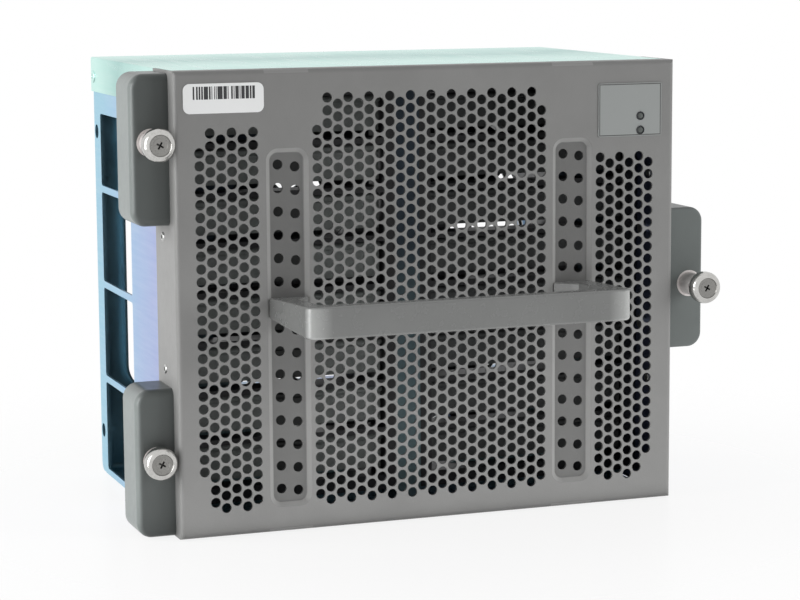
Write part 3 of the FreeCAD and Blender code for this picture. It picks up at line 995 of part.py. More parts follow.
CONNECTOR_FRONT = depth("body_depth - connector_d")
shell = box("connector_shell", ("-connector_w / 2", "connector_w / 2"), (CONNECTOR_FRONT, REAR),
            (CONNECTOR_LOW, f"{CONNECTOR_LOW} + connector_h"))
contacts = []
pockets = []
for i in range(CONTACTS):
    x = f"({i} - {(CONTACTS - 1) / 2}) * contact_pitch"
    z = f"{CONNECTOR_LOW} + connector_h / 2"
    pockets.append(box(f"pocket_{i}", (f"{x} - contact_w", f"{x} + contact_w"),
                       (f"{CONNECTOR_FRONT} + pocket_in", f"{REAR} + pocket_clear"),
                       (f"{z} - contact_h / 2 - pocket_clear", f"{z} + contact_h / 2 + pocket_clear")))
    contacts.append(box(f"contact_{i}", (f"{x} - contact_w / 2", f"{x} + contact_w / 2"),
                        (f"{CONNECTOR_FRONT} + pocket_in", f"{REAR} - contact_in"),
                        (f"{z} - contact_h / 2", f"{z} + contact_h / 2")))
node("rear_connector", cut("rear_connector", shell, pockets))
node("connector_contacts", group("connector_contacts", contacts))


# Leads: straight runs joined by arcs, swept with a round section

def lead(points, radii, diameter):
    edges = []
    start = points[0]
    for before, corner, after, radius in zip(points, points[1:], points[2:], radii):
        into, out = (corner - before).normalize(), (after - corner).normalize()
        half = into.getAngle(out) / 2
        back = radius * math.tan(half)
        first, last = corner - into * back, corner + out * back
        towards = (out - into).normalize()
        middle = corner + towards * (radius / math.cos(half) - radius)
        edges.append(Part.makeLine(start, first))
        edges.append(Part.Arc(first, middle, last).toShape())
        start = last
    edges.append(Part.makeLine(start, points[-1]))
    path = Part.Wire(edges)
    section = Part.Wire(Part.makeCircle(diameter / 2, points[0], points[1] - points[0]))
    return path.makePipeShell([section], True, False)


def vector(x, y, z):
    return Vector(number(x), number(y), number(z))


fan_lead = doc.addObject("Part::Feature", "fan_lead")
fan_lead.Shape = lead([
    vector(LEAD_X, depth(f"{FAN_FRONT} + fan_flange"), LEAD_Z),
    vector(LEAD_X, HEADER_Y, LEAD_Z),
    vector(f"{HEADER_X} + header_w / 2", HEADER_Y, LEAD_Z)], [number("lead_d * 1.5")], number("lead_d"))
node("fan_lead", fan_lead)

thin_lead = doc.addObject("Part::Feature", "indicator_lead")
TURN_Y = depth(f"{BOARD_FRONT} + board_t + thin_run")
ENTRY_Z = f"{BOARD_TOP} + thin_rise"
thin_lead.Shape = lead([
    vector(LENS_X, depth(f"{BOARD_FRONT} + board_t"), LENS_MID),
    vector(LENS_X, TURN_Y, LENS_MID),
    vector(THIN_X, TURN_Y, THIN_Z),
    vector(THIN_X, DROP_Y, THIN_Z),
    vector(THIN_X, DROP_Y, ENTRY_Z),
    vector(THIN_HEADER_END, DROP_Y, ENTRY_Z)],
    [number("thin_turn")] + 3 * [number("thin_bend")], number("thin_lead_d"))
node("indicator_lead", thin_lead)

doc.recompute()
faulty = [o.Name for o in doc.Objects if {"Invalid", "Error"} & set(o.State)]
if faulty:
    raise RuntimeError(f"failed objects: {faulty}")
for label, obj in parts.items():
    if obj.Shape.isNull() or not obj.Shape.isValid():
        raise RuntimeError(f"no valid shape: {label}")

os.makedirs("parts", exist_ok=True)
for label, obj in parts.items():
    obj.Shape.exportStep(f"parts/{label}.step")
    print(label, len(obj.Shape.Solids), round(obj.Shape.Volume, 1))
print(len(parts), "pieces")
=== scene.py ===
# %% [markdown]
# A fan tray, dressed for the studio
#
# The tray is a plated box with a perforated grey front, a cast handle and three ears with captive
# thumbscrews. Its solids come ready made, each already in its place, so the work here is finish: paint,
# plating, turned metal, print and light. The box around the solids is kept now and printed.

import json
import math

import bmesh
import bpy
from mathutils import Matrix, Vector


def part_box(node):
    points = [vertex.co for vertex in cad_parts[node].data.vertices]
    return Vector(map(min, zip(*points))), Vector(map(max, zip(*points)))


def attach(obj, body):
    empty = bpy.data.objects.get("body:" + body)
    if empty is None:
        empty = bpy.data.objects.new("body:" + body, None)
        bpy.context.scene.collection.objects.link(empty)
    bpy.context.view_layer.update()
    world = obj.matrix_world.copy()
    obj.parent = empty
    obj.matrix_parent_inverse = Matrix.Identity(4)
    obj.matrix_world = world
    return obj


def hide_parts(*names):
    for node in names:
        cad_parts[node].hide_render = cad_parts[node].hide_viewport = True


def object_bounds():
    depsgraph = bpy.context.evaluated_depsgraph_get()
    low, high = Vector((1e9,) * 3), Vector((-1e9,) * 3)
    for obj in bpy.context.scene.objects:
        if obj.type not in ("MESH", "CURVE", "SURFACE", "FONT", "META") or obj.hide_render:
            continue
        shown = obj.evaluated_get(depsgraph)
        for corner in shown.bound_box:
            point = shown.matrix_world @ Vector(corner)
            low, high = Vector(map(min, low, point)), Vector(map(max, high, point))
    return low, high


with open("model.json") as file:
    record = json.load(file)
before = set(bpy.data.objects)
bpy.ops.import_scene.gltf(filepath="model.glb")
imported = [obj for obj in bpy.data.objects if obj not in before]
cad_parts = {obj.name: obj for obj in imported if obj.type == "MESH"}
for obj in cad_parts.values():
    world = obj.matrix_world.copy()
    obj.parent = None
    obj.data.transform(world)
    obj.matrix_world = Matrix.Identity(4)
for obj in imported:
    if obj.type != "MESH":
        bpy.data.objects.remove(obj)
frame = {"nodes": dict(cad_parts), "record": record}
nodes = frame["nodes"]
solid_box = [list(corner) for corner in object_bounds()]
print("solids:", len(nodes), "pieces, box", [[round(v, 4) for v in corner] for corner in solid_box])

# %% [markdown]
# The camera
#
# The rows of holes in the panel make a ruler that the photograph shows in perspective, and they fix where
# the camera stood: about one metre away, to the left of the tray and a little above it. Three directions
# are enough to aim it. Forward comes from the turn and the dip, right is level apart from a small roll, and
# up is square to both. A Blender camera looks along its own -Z, so the columns of its matrix are right, up
# and backwards.

# %% Place the camera
CAMERA_AT = Vector((-0.34888, -0.96327, 0.23154))
TURN, DIP, ROLL = math.radians(20.054), math.radians(-8.248), math.radians(-0.351)
SENSOR_MM, PHOTO_WIDTH_PX, FOCAL_PX = 36.0, 800, 2473.77
LENS_MM = FOCAL_PX / PHOTO_WIDTH_PX * SENSOR_MM

forward = Vector((math.sin(TURN) * math.cos(DIP), math.cos(TURN) * math.cos(DIP), math.sin(DIP)))
level = Vector((math.cos(TURN), -math.sin(TURN), 0.0))
right = Matrix.Rotation(-ROLL, 3, forward) @ level
up = right.cross(forward)
camera_data = bpy.data.cameras.new("photo_camera")
camera_data.lens = LENS_MM
camera_data.sensor_fit = "HORIZONTAL"
camera_data.sensor_width = SENSOR_MM
camera_data.clip_start = 0.05
camera = bpy.data.objects.new("photo_camera", camera_data)
bpy.context.scene.collection.objects.link(camera)
camera.matrix_world = Matrix.Translation(CAMERA_AT) @ Matrix((right, up, -forward)).transposed().to_4x4()
bpy.context.scene.camera = camera
print("camera lens", round(LENS_MM, 1), "mm at", [round(v, 3) for v in CAMERA_AT])

# %% [markdown]
# Nodes for the finishes
#
# Every finish on the tray is built from the same few shader nodes, so each node gets a small function that
# adds it to a material, sets it and returns the socket to link on. Object coordinates feed all of them.
# They are metres in the tray's own space, so a grain has the same size on every piece and stays with it
# when it moves.

# %% Finish helpers


def linear(red, green, blue):
    """A colour as a screen shows it (0 to 255) turned into the linear numbers that shaders use."""
    def straighten(value):
        value = value / 255.0
        return value / 12.92 if value <= 0.04045 else ((value + 0.055) / 1.055) ** 2.4
    return (straighten(red), straighten(green), straighten(blue), 1.0)


def shade(colour, factor):
    return tuple(min(1.0, c * factor) for c in colour[:3]) + (1.0,)


def start_finish(name):
    """A material with its shader and Object coordinates ready."""
    material = bpy.data.materials.new(name)
    material.use_nodes = True
    tree = material.node_tree
    shader = tree.nodes["Principled BSDF"]
    place = tree.nodes.new("ShaderNodeTexCoord").outputs["Object"]
    return material, tree, shader, place


def add_noise(tree, place, scale, detail=2.0, rough=0.5):
    noise = tree.nodes.new("ShaderNodeTexNoise")
    noise.inputs["Scale"].default_value = scale
    noise.inputs["Detail"].default_value = detail
    noise.inputs["Roughness"].default_value = rough
    tree.links.new(place, noise.inputs["Vector"])
    return noise.outputs["Fac"]


def add_ramp(tree, factor, stops):
    ramp = tree.nodes.new("ShaderNodeValToRGB")
    while len(ramp.color_ramp.elements) < len(stops):
        ramp.color_ramp.elements.new(0.5)
    for element, (position, colour) in zip(ramp.color_ramp.elements, stops):
        element.position = position
        element.color = colour
    tree.links.new(factor, ramp.inputs["Fac"])
    return ramp.outputs["Color"]


def add_roughness(tree, shader, factor, low, high):
    levels = [(0.3, (low,) * 3 + (1.0,)), (0.7, (high,) * 3 + (1.0,))]
    tree.links.new(add_ramp(tree, factor, levels), shader.inputs["Roughness"])


def add_bump(tree, shader, height, strength, distance):
    bump = tree.nodes.new("ShaderNodeBump")
    bump.inputs["Strength"].default_value = strength
    bump.inputs["Distance"].default_value = distance
    tree.links.new(height, bump.inputs["Height"])
    tree.links.new(bump.outputs["Normal"], shader.inputs["Normal"])


print("finish helpers ready")

# %% [markdown]
# Masks
#
# A mask is a number from 0 to 1 at each point of a surface, and it says where a second colour shows. It
# could be painted as an image, but here it comes from arithmetic on the coordinates or on the direction
# that the face looks in, so it is as sharp as the render and needs no unwrapping. Bands, spans and a mix
# are enough.

# %% Mask helpers


def add_math(tree, operation, first, second):
    """One Math node; each input is a number or the output of another node."""
    node = tree.nodes.new("ShaderNodeMath")
    node.operation = operation
    for socket, value in zip(node.inputs, (first, second)):
        if isinstance(value, (int, float)):
            socket.default_value = value
        else:
            tree.links.new(value, socket)
    return node.outputs["Value"]


def add_axes(tree, place):
    split = tree.nodes.new("ShaderNodeSeparateXYZ")
    tree.links.new(place, split.inputs["Vector"])
    return split.outputs


def add_normal(tree):
    return add_axes(tree, tree.nodes.new("ShaderNodeNewGeometry").outputs["Normal"])


def add_span(tree, value, start, end, low, high, smooth=False):
    """Runs from low to high while the value goes from start to end; a smooth one eases in and out."""
    span = tree.nodes.new("ShaderNodeMapRange")
    if smooth:
        span.interpolation_type = "SMOOTHSTEP"
    for socket, number in zip(("From Min", "From Max", "To Min", "To Max"), (start, end, low, high)):
        span.inputs[socket].default_value = number
    tree.links.new(value, span.inputs["Value"])
    return span.outputs["Result"]


def add_band(tree, value, low, high):
    """1 where low < value < high, 0 elsewhere."""
    return add_math(tree, "MULTIPLY", add_math(tree, "GREATER_THAN", value, low),
                    add_math(tree, "LESS_THAN", value, high))


def add_mix(tree, factor, first, second):
    """The first colour where the factor is 0, the second where it is 1."""
    mix = tree.nodes.new("ShaderNodeMix")
    mix.data_type = "RGBA"
    tree.links.new(factor, mix.inputs["Factor"])
    tree.links.new(first, mix.inputs["A"])
    tree.links.new(second, mix.inputs["B"])
    return mix.outputs["Result"]


print("mask helpers ready")

# %% [markdown]
# Lighter and darker paint
#
# The paint carries painted light and shade in several areas. Painted shade darkens the floor of the two
# drawn ribs, painted light brightens their slopes, the sides of the ears and the front of the right ear, and
# painted highlights brighten the ends and the top of the handle. A lamp aimed at each area could do it too,
# but it would also reach what stands beside it, so here the paint carries the tones, and each area becomes a
# mask.

# %% Paint masks
PANEL_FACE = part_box("front_panel")[0].y
HANDLE_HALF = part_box("handle")[1].x
RIB_X, RIB_HALF, RIB_DEEP = 0.0606, 0.009, 0.0017
END_FADE = (0.0115, 0.004)


def near_ribs(tree, axes):
    from_middle = add_math(tree, "ABSOLUTE", axes["X"], 0.0)
    return add_band(tree, from_middle, RIB_X - RIB_HALF, RIB_X + RIB_HALF)


def in_ribs(tree, place):
    """1 on the floor of the two drawn ribs, where the paint carries painted shade."""
    axes = add_axes(tree, place)
    sunk = add_span(tree, axes["Y"], PANEL_FACE + 0.8 * RIB_DEEP, PANEL_FACE + 0.99 * RIB_DEEP, 0.0, 1.0)
    return add_math(tree, "MULTIPLY", sunk, near_ribs(tree, axes))


def on_rib_walls(tree, place):
    """1 on the slope between the panel's face and the floor of a rib, where the paint carries painted light.
    """
    axes = add_axes(tree, place)
    slope = add_band(tree, axes["Y"], PANEL_FACE + 0.04 * RIB_DEEP, PANEL_FACE + 0.8 * RIB_DEEP)
    return add_math(tree, "MULTIPLY", slope, near_ribs(tree, axes))


def sideways(tree, place):
    """1 on faces that look to the left or right; on the ears the paint carries painted light there."""
    return add_span(tree, add_math(tree, "ABSOLUTE", add_normal(tree)["X"], 0.0), 0.3, 0.8, 0.0, 1.0)


def upwards(tree, place):
    """1 on faces that look up; on the handle the paint carries painted light there."""
    return add_span(tree, add_normal(tree)["Z"], 0.3, 0.8, 0.0, 1.0)


def on_the_right(tree, place):
    """1 on the front of the right ear, where the paint carries painted light."""
    right_half = add_math(tree, "GREATER_THAN", add_axes(tree, place)["X"], 0.0)
    to_front = add_span(tree, add_normal(tree)["Y"], -0.8, -0.3, 1.0, 0.0)
    return add_math(tree, "MULTIPLY", right_half, to_front)


def on_corners(tree, place):
    """1 at both ends of the front of the handle, where the paint carries a painted highlight."""
    from_middle = add_math(tree, "ABSOLUTE", add_axes(tree, place)["X"], 0.0)
    near_end = add_span(tree, from_middle, HANDLE_HALF - END_FADE[0], HANDLE_HALF - END_FADE[1], 0.0, 1.0)
    to_front = add_span(tree, add_normal(tree)["Y"], -0.8, -0.2, 1.0, 0.0)
    return add_math(tree, "MULTIPLY", near_end, to_front)


print("paint masks ready")

# %% [markdown]
# Painted metal
#
# The panel is powder coated: a satin grey with a very fine orange-peel skin and a faint mottle that keeps a
# wide flat sheet from looking like plastic. A slow noise moves the colour and a fast one makes the bump.
# The handle and the ears are cast and then painted, so they share the recipe with a coarser skin and their
# own greys. In each masked area a second ramp takes over, lighter with painted light or darker with painted
# shade, fed by the same noise, so the mottle runs on across the border.

# %% Paint recipe
# Painted shade on the floor of the ribs and painted light on their slopes
RIB_PAINTED_SHADE, SLOPE_PAINTED_LIGHT = 0.66, 1.3
# Painted light on the sides of the ears and on the front of the right ear
SIDE_PAINTED_LIGHT, RIGHT_PAINTED_LIGHT = 2.2, 1.5
# Painted highlights at the ends of the handle and painted light on its top
CORNER_PAINTED_HIGHLIGHT, TOP_PAINTED_LIGHT = 2.3, 1.4


def paint(name, colour, rough, grain, peel, gloss, areas=()):
    """A painted finish; each area is a mask and how much painted light or shade makes the paint lighter or
    darker there.
    """
    material, tree, shader, place = start_finish(name)
    shader.inputs["Specular IOR Level"].default_value = gloss
    mottle = add_noise(tree, place, 38.0, 4.0, 0.6)
    stops = [(0.25, shade(colour, 0.94)), (0.5, colour), (0.75, shade(colour, 1.06))]
    tone = add_ramp(tree, mottle, stops)
    for mask, factor in areas:
        other = add_ramp(tree, mottle, [(position, shade(coat, factor)) for position, coat in stops])
        tone = add_mix(tree, mask(tree, place), tone, other)
    tree.links.new(tone, shader.inputs["Base Color"])
    add_roughness(tree, shader, add_noise(tree, place, 240.0, 3.0), rough - 0.03, rough + 0.03)
    add_bump(tree, shader, add_noise(tree, place, grain, 2.0), peel, 0.0004)
    return material


panel_paint = paint("panel_powder_coat", linear(120, 120, 119), 0.46, 1500.0, 0.08, 0.35,
                    [(in_ribs, RIB_PAINTED_SHADE), (on_rib_walls, SLOPE_PAINTED_LIGHT)])
handle_paint = paint("cast_handle_paint", linear(102, 103, 102), 0.26, 1100.0, 0.04, 0.6,
                     [(on_corners, CORNER_PAINTED_HIGHLIGHT), (upwards, TOP_PAINTED_LIGHT)])
ear_paint = paint("cast_ear_paint", linear(76, 80, 79), 0.34, 1100.0, 0.06, 0.35,
                  [(sideways, SIDE_PAINTED_LIGHT), (on_the_right, RIGHT_PAINTED_LIGHT)])
print("paints made: panel, handle, ears")

# %% [markdown]
# Zinc plating
#
# The box behind the panel looks zinc plated, with a thin blue passivation. Such a film tints the light, and
# the plating runs from pale mint on the cover to sky blue and lavender on the side. Zinc is a metal, so its
# colour is the tint of its reflections. A gradient along one axis carries the hue across each sheet: along
# the depth on the walls and the cover, across the width on the pan, and up the sheets inside. One slow noise
# makes the hue drift, and a second one, drawn out along the depth, gives the rolled grain. Faces that look
# towards the middle of the tray are darker with painted shade: the sign of the normal times the direction
# away from the middle tells them apart. The post and the bulkhead inside are a darker slate zinc, darker
# towards the top, which is painted shade for the inside of the box.

# %% Zinc recipe
# Painted shade: how much darker the faces that look into the tray are
INNER_PAINTED_SHADE = 0.58
TRAY_MIDDLE = Vector((0.0, 0.0, (solid_box[0][2] + solid_box[1][2]) / 2))


def looks_outwards(tree, place):
    """1 on faces that look away from the middle of the tray, 0 on those that look inwards."""
    away = tree.nodes.new("ShaderNodeVectorMath")
    away.operation = "SUBTRACT"
    away.inputs[1].default_value = TRAY_MIDDLE
    tree.links.new(place, away.inputs[0])
    facing = tree.nodes.new("ShaderNodeVectorMath")
    facing.operation = "DOT_PRODUCT"
    tree.links.new(away.outputs["Vector"], facing.inputs[0])
    tree.links.new(tree.nodes.new("ShaderNodeNewGeometry").outputs["Normal"], facing.inputs[1])
    return add_math(tree, "GREATER_THAN", facing.outputs["Value"], 0.0)


def zinc(name, axis, span, stops, rough, metal):
    material, tree, shader, place = start_finish(name)
    reach = add_span(tree, add_axes(tree, place)[axis], span[0], span[1], 0.0, 1.0)
    drift = add_math(tree, "MULTIPLY", add_noise(tree, place, 16.0, 3.0, 0.55), 0.5)
    hue = add_math(tree, "ADD", add_math(tree, "SUBTRACT", reach, 0.25), drift)
    outer = add_ramp(tree, hue, stops)
    inner = add_ramp(tree, hue, [(position, shade(colour, INNER_PAINTED_SHADE)) for position, colour in stops])
    tree.links.new(add_mix(tree, looks_outwards(tree, place), inner, outer), shader.inputs["Base Color"])
    shader.inputs["Metallic"].default_value = metal
    squeeze = tree.nodes.new("ShaderNodeMapping")
    squeeze.inputs["Scale"].default_value = (1.0, 0.06, 1.0)
    tree.links.new(place, squeeze.inputs["Vector"])
    streak = add_noise(tree, squeeze.outputs["Vector"], 420.0, 3.0, 0.6)
    add_roughness(tree, shader, streak, rough - 0.06, rough + 0.08)
    add_bump(tree, shader, streak, 0.05, 0.0003)
    return material


LAVENDER, SKY, CYAN = linear(156, 168, 210), linear(152, 187, 217), linear(146, 194, 214)
MINT, PALE_MINT = linear(152, 196, 190), linear(192, 230, 222)
SLATE, DARK_SLATE = linear(96, 116, 120), linear(46, 56, 66)
wall_low, wall_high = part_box("left_side_wall")
post_low, post_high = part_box("centre_post")
DEPTH_SPAN = (wall_low.y + 0.03, wall_high.y)
wall_zinc = zinc("zinc_wall", "Y", DEPTH_SPAN, [(0.05, LAVENDER), (0.5, SKY), (0.95, CYAN)], 0.34, 0.85)
cover_stops = [(0.05, PALE_MINT), (0.5, MINT), (0.95, PALE_MINT)]
cover_zinc = zinc("zinc_cover", "Y", DEPTH_SPAN, cover_stops, 0.30, 0.85)
pan_stops = [(0.05, CYAN), (0.35, SKY), (0.65, LAVENDER), (0.95, SKY)]
pan_zinc = zinc("zinc_pan", "X", (wall_low.x, -wall_low.x), pan_stops, 0.34, 0.85)
# Painted shade: the post and the bulkhead inside the box are a darker slate zinc, darker towards the top
post_zinc = zinc("zinc_post", "Z", (post_low.z, post_high.z), [(0.1, SLATE), (0.6, DARK_SLATE)], 0.45, 0.6)
print("zinc made: walls, cover and inner sheets")

# %% [markdown]
# Turned and plated metal, plastic and board
#
# The remaining finishes are quieter. Turned metal has fine tool marks, moulded plastic a soft spark
# texture, the board a glossy green solder mask, and the stator copper wire. Most are one noise on Object
# coordinates with a roughness of their own. The skirts of the thumbscrews are frosted, so they are only
# partly metallic and catch light from every side. The two banks of flaps behind the panel are the same sheet
# in two tones: the left one is paler with painted light, the right one darker with painted shade. A dark
# strip down the left one makes the holes of the left rib black, and it is a guess at what lies behind them.

# %% Small finishes
FLAP_STRIP, STRIP_SHADE = (-0.0575, -0.0435), 0.1


def bare_metal(name, colour, rough, scale=600.0, metal=1.0):
    material, tree, shader, place = start_finish(name)
    marks = add_noise(tree, place, scale, 4.0, 0.6)
    stops = [(0.3, shade(colour, 0.88)), (0.7, shade(colour, 1.06))]
    tree.links.new(add_ramp(tree, marks, stops), shader.inputs["Base Color"])
    shader.inputs["Metallic"].default_value = metal
    add_roughness(tree, shader, marks, rough - 0.05, rough + 0.07)
    add_bump(tree, shader, marks, 0.06, 0.0002)
    return material


def moulded(name, colour, rough, scale=900.0):
    material, tree, shader, place = start_finish(name)
    spark = add_noise(tree, place, scale, 3.0, 0.6)
    stops = [(0.3, shade(colour, 0.88)), (0.7, shade(colour, 1.12))]
    tree.links.new(add_ramp(tree, spark, stops), shader.inputs["Base Color"])
    shader.inputs["Roughness"].default_value = rough
    add_bump(tree, shader, spark, 0.10, 0.0003)
    return material


def on_strip(tree, place):
    """1 on the dark strip that runs down the left bank of flaps."""
    return add_band(tree, add_axes(tree, place)["X"], *FLAP_STRIP)


nickel = bare_metal("satin_nickel", linear(196, 195, 192), 0.19)
screw_face = bare_metal("turned_screw_face", linear(140, 139, 136), 0.3, 1500.0)
frosted = bare_metal("frosted_skirt", linear(206, 201, 199), 0.38, 900.0, 0.35)
recess_dark = bare_metal("recess_shadow", linear(92, 92, 90), 0.5)
plated = bare_metal("plated_steel", linear(190, 191, 189), 0.30)
guard_wire = bare_metal("guard_wire", linear(176, 178, 177), 0.26)
magnet_dark = bare_metal("sintered_magnet", linear(84, 82, 80), 0.55)
copper = bare_metal("enamelled_copper", linear(190, 112, 66), 0.38)
gold = bare_metal("contact_gold", linear(224, 186, 104), 0.28)
# The same flap sheet twice: paler on the left with painted light, darker on the right with painted shade
pale_flap = paint("pale_flap_sheet", linear(104, 108, 106), 0.5, 300.0, 0.1, 0.5, [(on_strip, STRIP_SHADE)])
dark_flap = moulded("dark_flap_sheet", linear(60, 62, 62), 0.5, 300.0)
black_plastic = moulded("black_plastic", linear(30, 30, 32), 0.46)
fan_black = moulded("fan_black_paint", linear(36, 38, 42), 0.40, 500.0)
connector_black = moulded("connector_plastic", linear(38, 38, 40), 0.5)
lead_sleeve = moulded("lead_sleeve", linear(30, 30, 32), 0.6, 1400.0)
board_green = moulded("board_green", linear(38, 92, 62), 0.3, 260.0)
print("small finishes made")

# %% [markdown]
# The label
#
# The white label at the top left carries a generic row of bars and nothing to read. The bars are drawn in
# the material: a noise that changes only along the label's length is cut to black and white, and two bands
# keep the bars inside a margin.

# %% Label print
BAR_WIDTH = 0.00034
label_low, label_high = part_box("asset_label")
label_w, label_h = label_high.x - label_low.x, label_high.z - label_low.z
label_print, tree, shader, place = start_finish("label_print")
axes = add_axes(tree, place)
bars = tree.nodes.new("ShaderNodeTexWhiteNoise")
bars.noise_dimensions = "1D"
tree.links.new(add_math(tree, "SNAP", axes["X"], BAR_WIDTH), bars.inputs["W"])
ink = add_math(tree, "GREATER_THAN", bars.outputs["Value"], 0.33)
wide = add_band(tree, axes["X"], label_low.x + 0.12 * label_w, label_low.x + 0.9 * label_w)
tall = add_band(tree, axes["Z"], label_low.z + 0.47 * label_h, label_high.z - 0.1 * label_h)
inked = add_math(tree, "MULTIPLY", ink, add_math(tree, "MULTIPLY", wide, tall))
PAPER, INK = linear(221, 222, 222), linear(40, 40, 42)
tree.links.new(add_ramp(tree, inked, [(0.0, PAPER), (1.0, INK)]), shader.inputs["Base Color"])
shader.inputs["Roughness"].default_value = 0.42
print("label", round(label_w * 1000, 1), "x", round(label_h * 1000, 1), "mm with generic bars")

# %% [markdown]
# The status plate
#
# The grey plate at the top right is bare, with a thin printed frame. The frame is what lies inside one
# rectangle and outside a slightly smaller one, so it is the difference of two masks.

# %% Plate print
LINE_IN, LINE_W = 0.0003, 0.0004
plate_low, plate_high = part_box("status_plate")
plate_print, tree, shader, place = start_finish("plate_print")
axes = add_axes(tree, place)


def inside_frame(margin):
    across = add_band(tree, axes["X"], plate_low.x + margin, plate_high.x - margin)
    along = add_band(tree, axes["Z"], plate_low.z + margin, plate_high.z - margin)
    return add_math(tree, "MULTIPLY", across, along)


line = add_math(tree, "SUBTRACT", inside_frame(LINE_IN), inside_frame(LINE_IN + LINE_W))
tree.links.new(add_ramp(tree, line, [(0.0, linear(135, 138, 137)), (1.0, linear(70, 71, 70))]),
               shader.inputs["Base Color"])
add_roughness(tree, shader, add_noise(tree, place, 500.0), 0.38, 0.48)
print("plate frame", LINE_W * 1000, "mm wide")

# %% [markdown]
# Dressing the solids
#
# Every solid that keeps its own shape now gets its finish. The list reads piece by piece, so a new finish
# is easy to try on one of them. Families of like pieces, such as the ears or a bank of flaps, are matched
# by the start of their name.

# %% Assign finishes
FINISHES = {
    "front_panel": panel_paint, "handle": handle_paint, "asset_label": label_print,
    "status_plate": plate_print, "indicator_lenses": fan_black, "indicator_board": board_green,
    "handle_screws": plated, "ear_screws": plated, "screw_sleeves": frosted, "flange_rivets": plated,
    "cover_screws": plated, "fan_screws": plated, "fan_bearings": plated, "rotor_shaft": plated,
    "rotor_cup": plated, "wire_guard": guard_wire, "board_standoffs": plated, "rotor_magnet": magnet_dark,
    "fan_stator": copper, "connector_contacts": gold, "top_cover": cover_zinc, "left_side_wall": wall_zinc,
    "right_side_wall": wall_zinc, "base_pan": pan_zinc, "fan_bulkhead": post_zinc, "centre_post": post_zinc,
    "damper_frame_left": black_plastic, "damper_frame_right": black_plastic, "fan_impeller": black_plastic,
    "fan_housing": fan_black, "board_parts": connector_black, "rear_connector": connector_black,
    "control_board": board_green, "fan_lead": lead_sleeve, "indicator_lead": lead_sleeve,
}
FAMILIES = {"ear_": ear_paint, "flap_left_": pale_flap, "flap_right_": dark_flap,
            "retaining_ring_": plated, "thumbscrew_": nickel}
for name in nodes:
    family = next((start for start in FAMILIES if name.startswith(start)), None)
    finish = FINISHES.get(name) or FAMILIES[family]
    mesh = nodes[name].data
    mesh.materials.clear()
    mesh.materials.append(finish)
print("dressed", len(nodes), "solids")

# %% [markdown]
# Turned pieces
#
# Screws and rivets are round about their axis, so they are made as on a lathe: half of the outline is drawn
# as a chain of vertices and spun about the axis. The chain is given in millimetres, radius first, then the
# distance from the head. The outline's round stretches are arcs. Faces are shaded smooth, and edges where
# two faces meet at a wide angle stay crisp.

# %% Lathe
MM = 0.001


def mesh_from(name, bm):
    mesh = bpy.data.meshes.new(name)
    bm.to_mesh(mesh)
    bm.free()
    return mesh


def add_object(name, mesh):
    piece = bpy.data.objects.new(name, mesh)
    bpy.context.scene.collection.objects.link(piece)
    return piece


def lathe(outline, steps):
    """Spins a chain of (radius, distance) in millimetres about the Y axis."""
    bm = bmesh.new()
    chain = [bm.verts.new((0.0, along * MM, radius * MM)) for radius, along in outline]
    edges = [bm.edges.new(pair) for pair in zip(chain, chain[1:])]
    bmesh.ops.spin(bm, geom=chain + edges, cent=(0, 0, 0), axis=(0, 1, 0), angle=2 * math.pi, steps=steps,
                   use_merge=True)
    bmesh.ops.remove_doubles(bm, verts=bm.verts, dist=1e-7)
    bmesh.ops.recalc_face_normals(bm, faces=bm.faces)
    return bm


def arc(centre, radius, start, end, count):
    """Points of an arc, in degrees, for a lathe outline; 0 points outwards and 90 to the head."""
    angles = [math.radians(start + (end - start) * i / (count - 1)) for i in range(count)]
    return [(centre[0] + radius[0] * math.cos(a), centre[1] - radius[1] * math.sin(a)) for a in angles]


def smooth_by_angle(mesh, degrees):
    """Smooth faces with crisp edges where two faces meet at more than the angle."""
    bm = bmesh.new()
    bm.from_mesh(mesh)
    for face in bm.faces:
        face.smooth = True
    for edge in bm.edges:
        edge.smooth = len(edge.link_faces) == 2 and edge.calc_face_angle(0.0) < math.radians(degrees)
    bm.to_mesh(mesh)
    bm.free()


print("lathe ready")

# %% [markdown]
# Cross recesses
#
# A cross recess is one cross-shaped prism that tapers towards its floor, cut out with a Boolean. Two
# crossed boxes would do as well, but a single outline keeps the cutter free of crossing walls, which a
# Boolean likes.

# %% Recess


def cross_cutter(size, arm, deep, start):
    """A tapered cross prism, from in front of the head down to its floor, all in millimetres."""
    corners = [(arm, size), (arm, arm), (size, arm), (size, -arm), (arm, -arm), (arm, -size),
               (-arm, -size), (-arm, -arm), (-size, -arm), (-size, arm), (-arm, arm), (-arm, size)]
    bm = bmesh.new()
    mouth = bm.faces.new([bm.verts.new((x * MM, (start - deep) * MM, z * MM)) for x, z in corners])
    grown = bmesh.ops.extrude_face_region(bm, geom=[mouth])["geom"]
    floor_verts = [item for item in grown if isinstance(item, bmesh.types.BMVert)]
    bmesh.ops.translate(bm, vec=(0, 2 * deep * MM, 0), verts=floor_verts)
    bmesh.ops.scale(bm, vec=(0.35, 1.0, 0.35), verts=floor_verts)
    bmesh.ops.recalc_face_normals(bm, faces=bm.faces)
    return bm


def cut_away(mesh, cutter_bm):
    """The mesh with the cutter's shape taken out."""
    piece = add_object("blank", mesh)
    cutter = add_object("cutter", mesh_from("cutter", cutter_bm))
    modifier = piece.modifiers.new("recess", "BOOLEAN")
    modifier.operation = "DIFFERENCE"
    modifier.solver = "EXACT"
    modifier.object = cutter
    bpy.context.view_layer.update()
    result = bpy.data.meshes.new_from_object(piece.evaluated_get(bpy.context.evaluated_depsgraph_get()))
    bpy.data.objects.remove(piece)
    bpy.data.objects.remove(cutter)
    return result


print("recess tool ready")

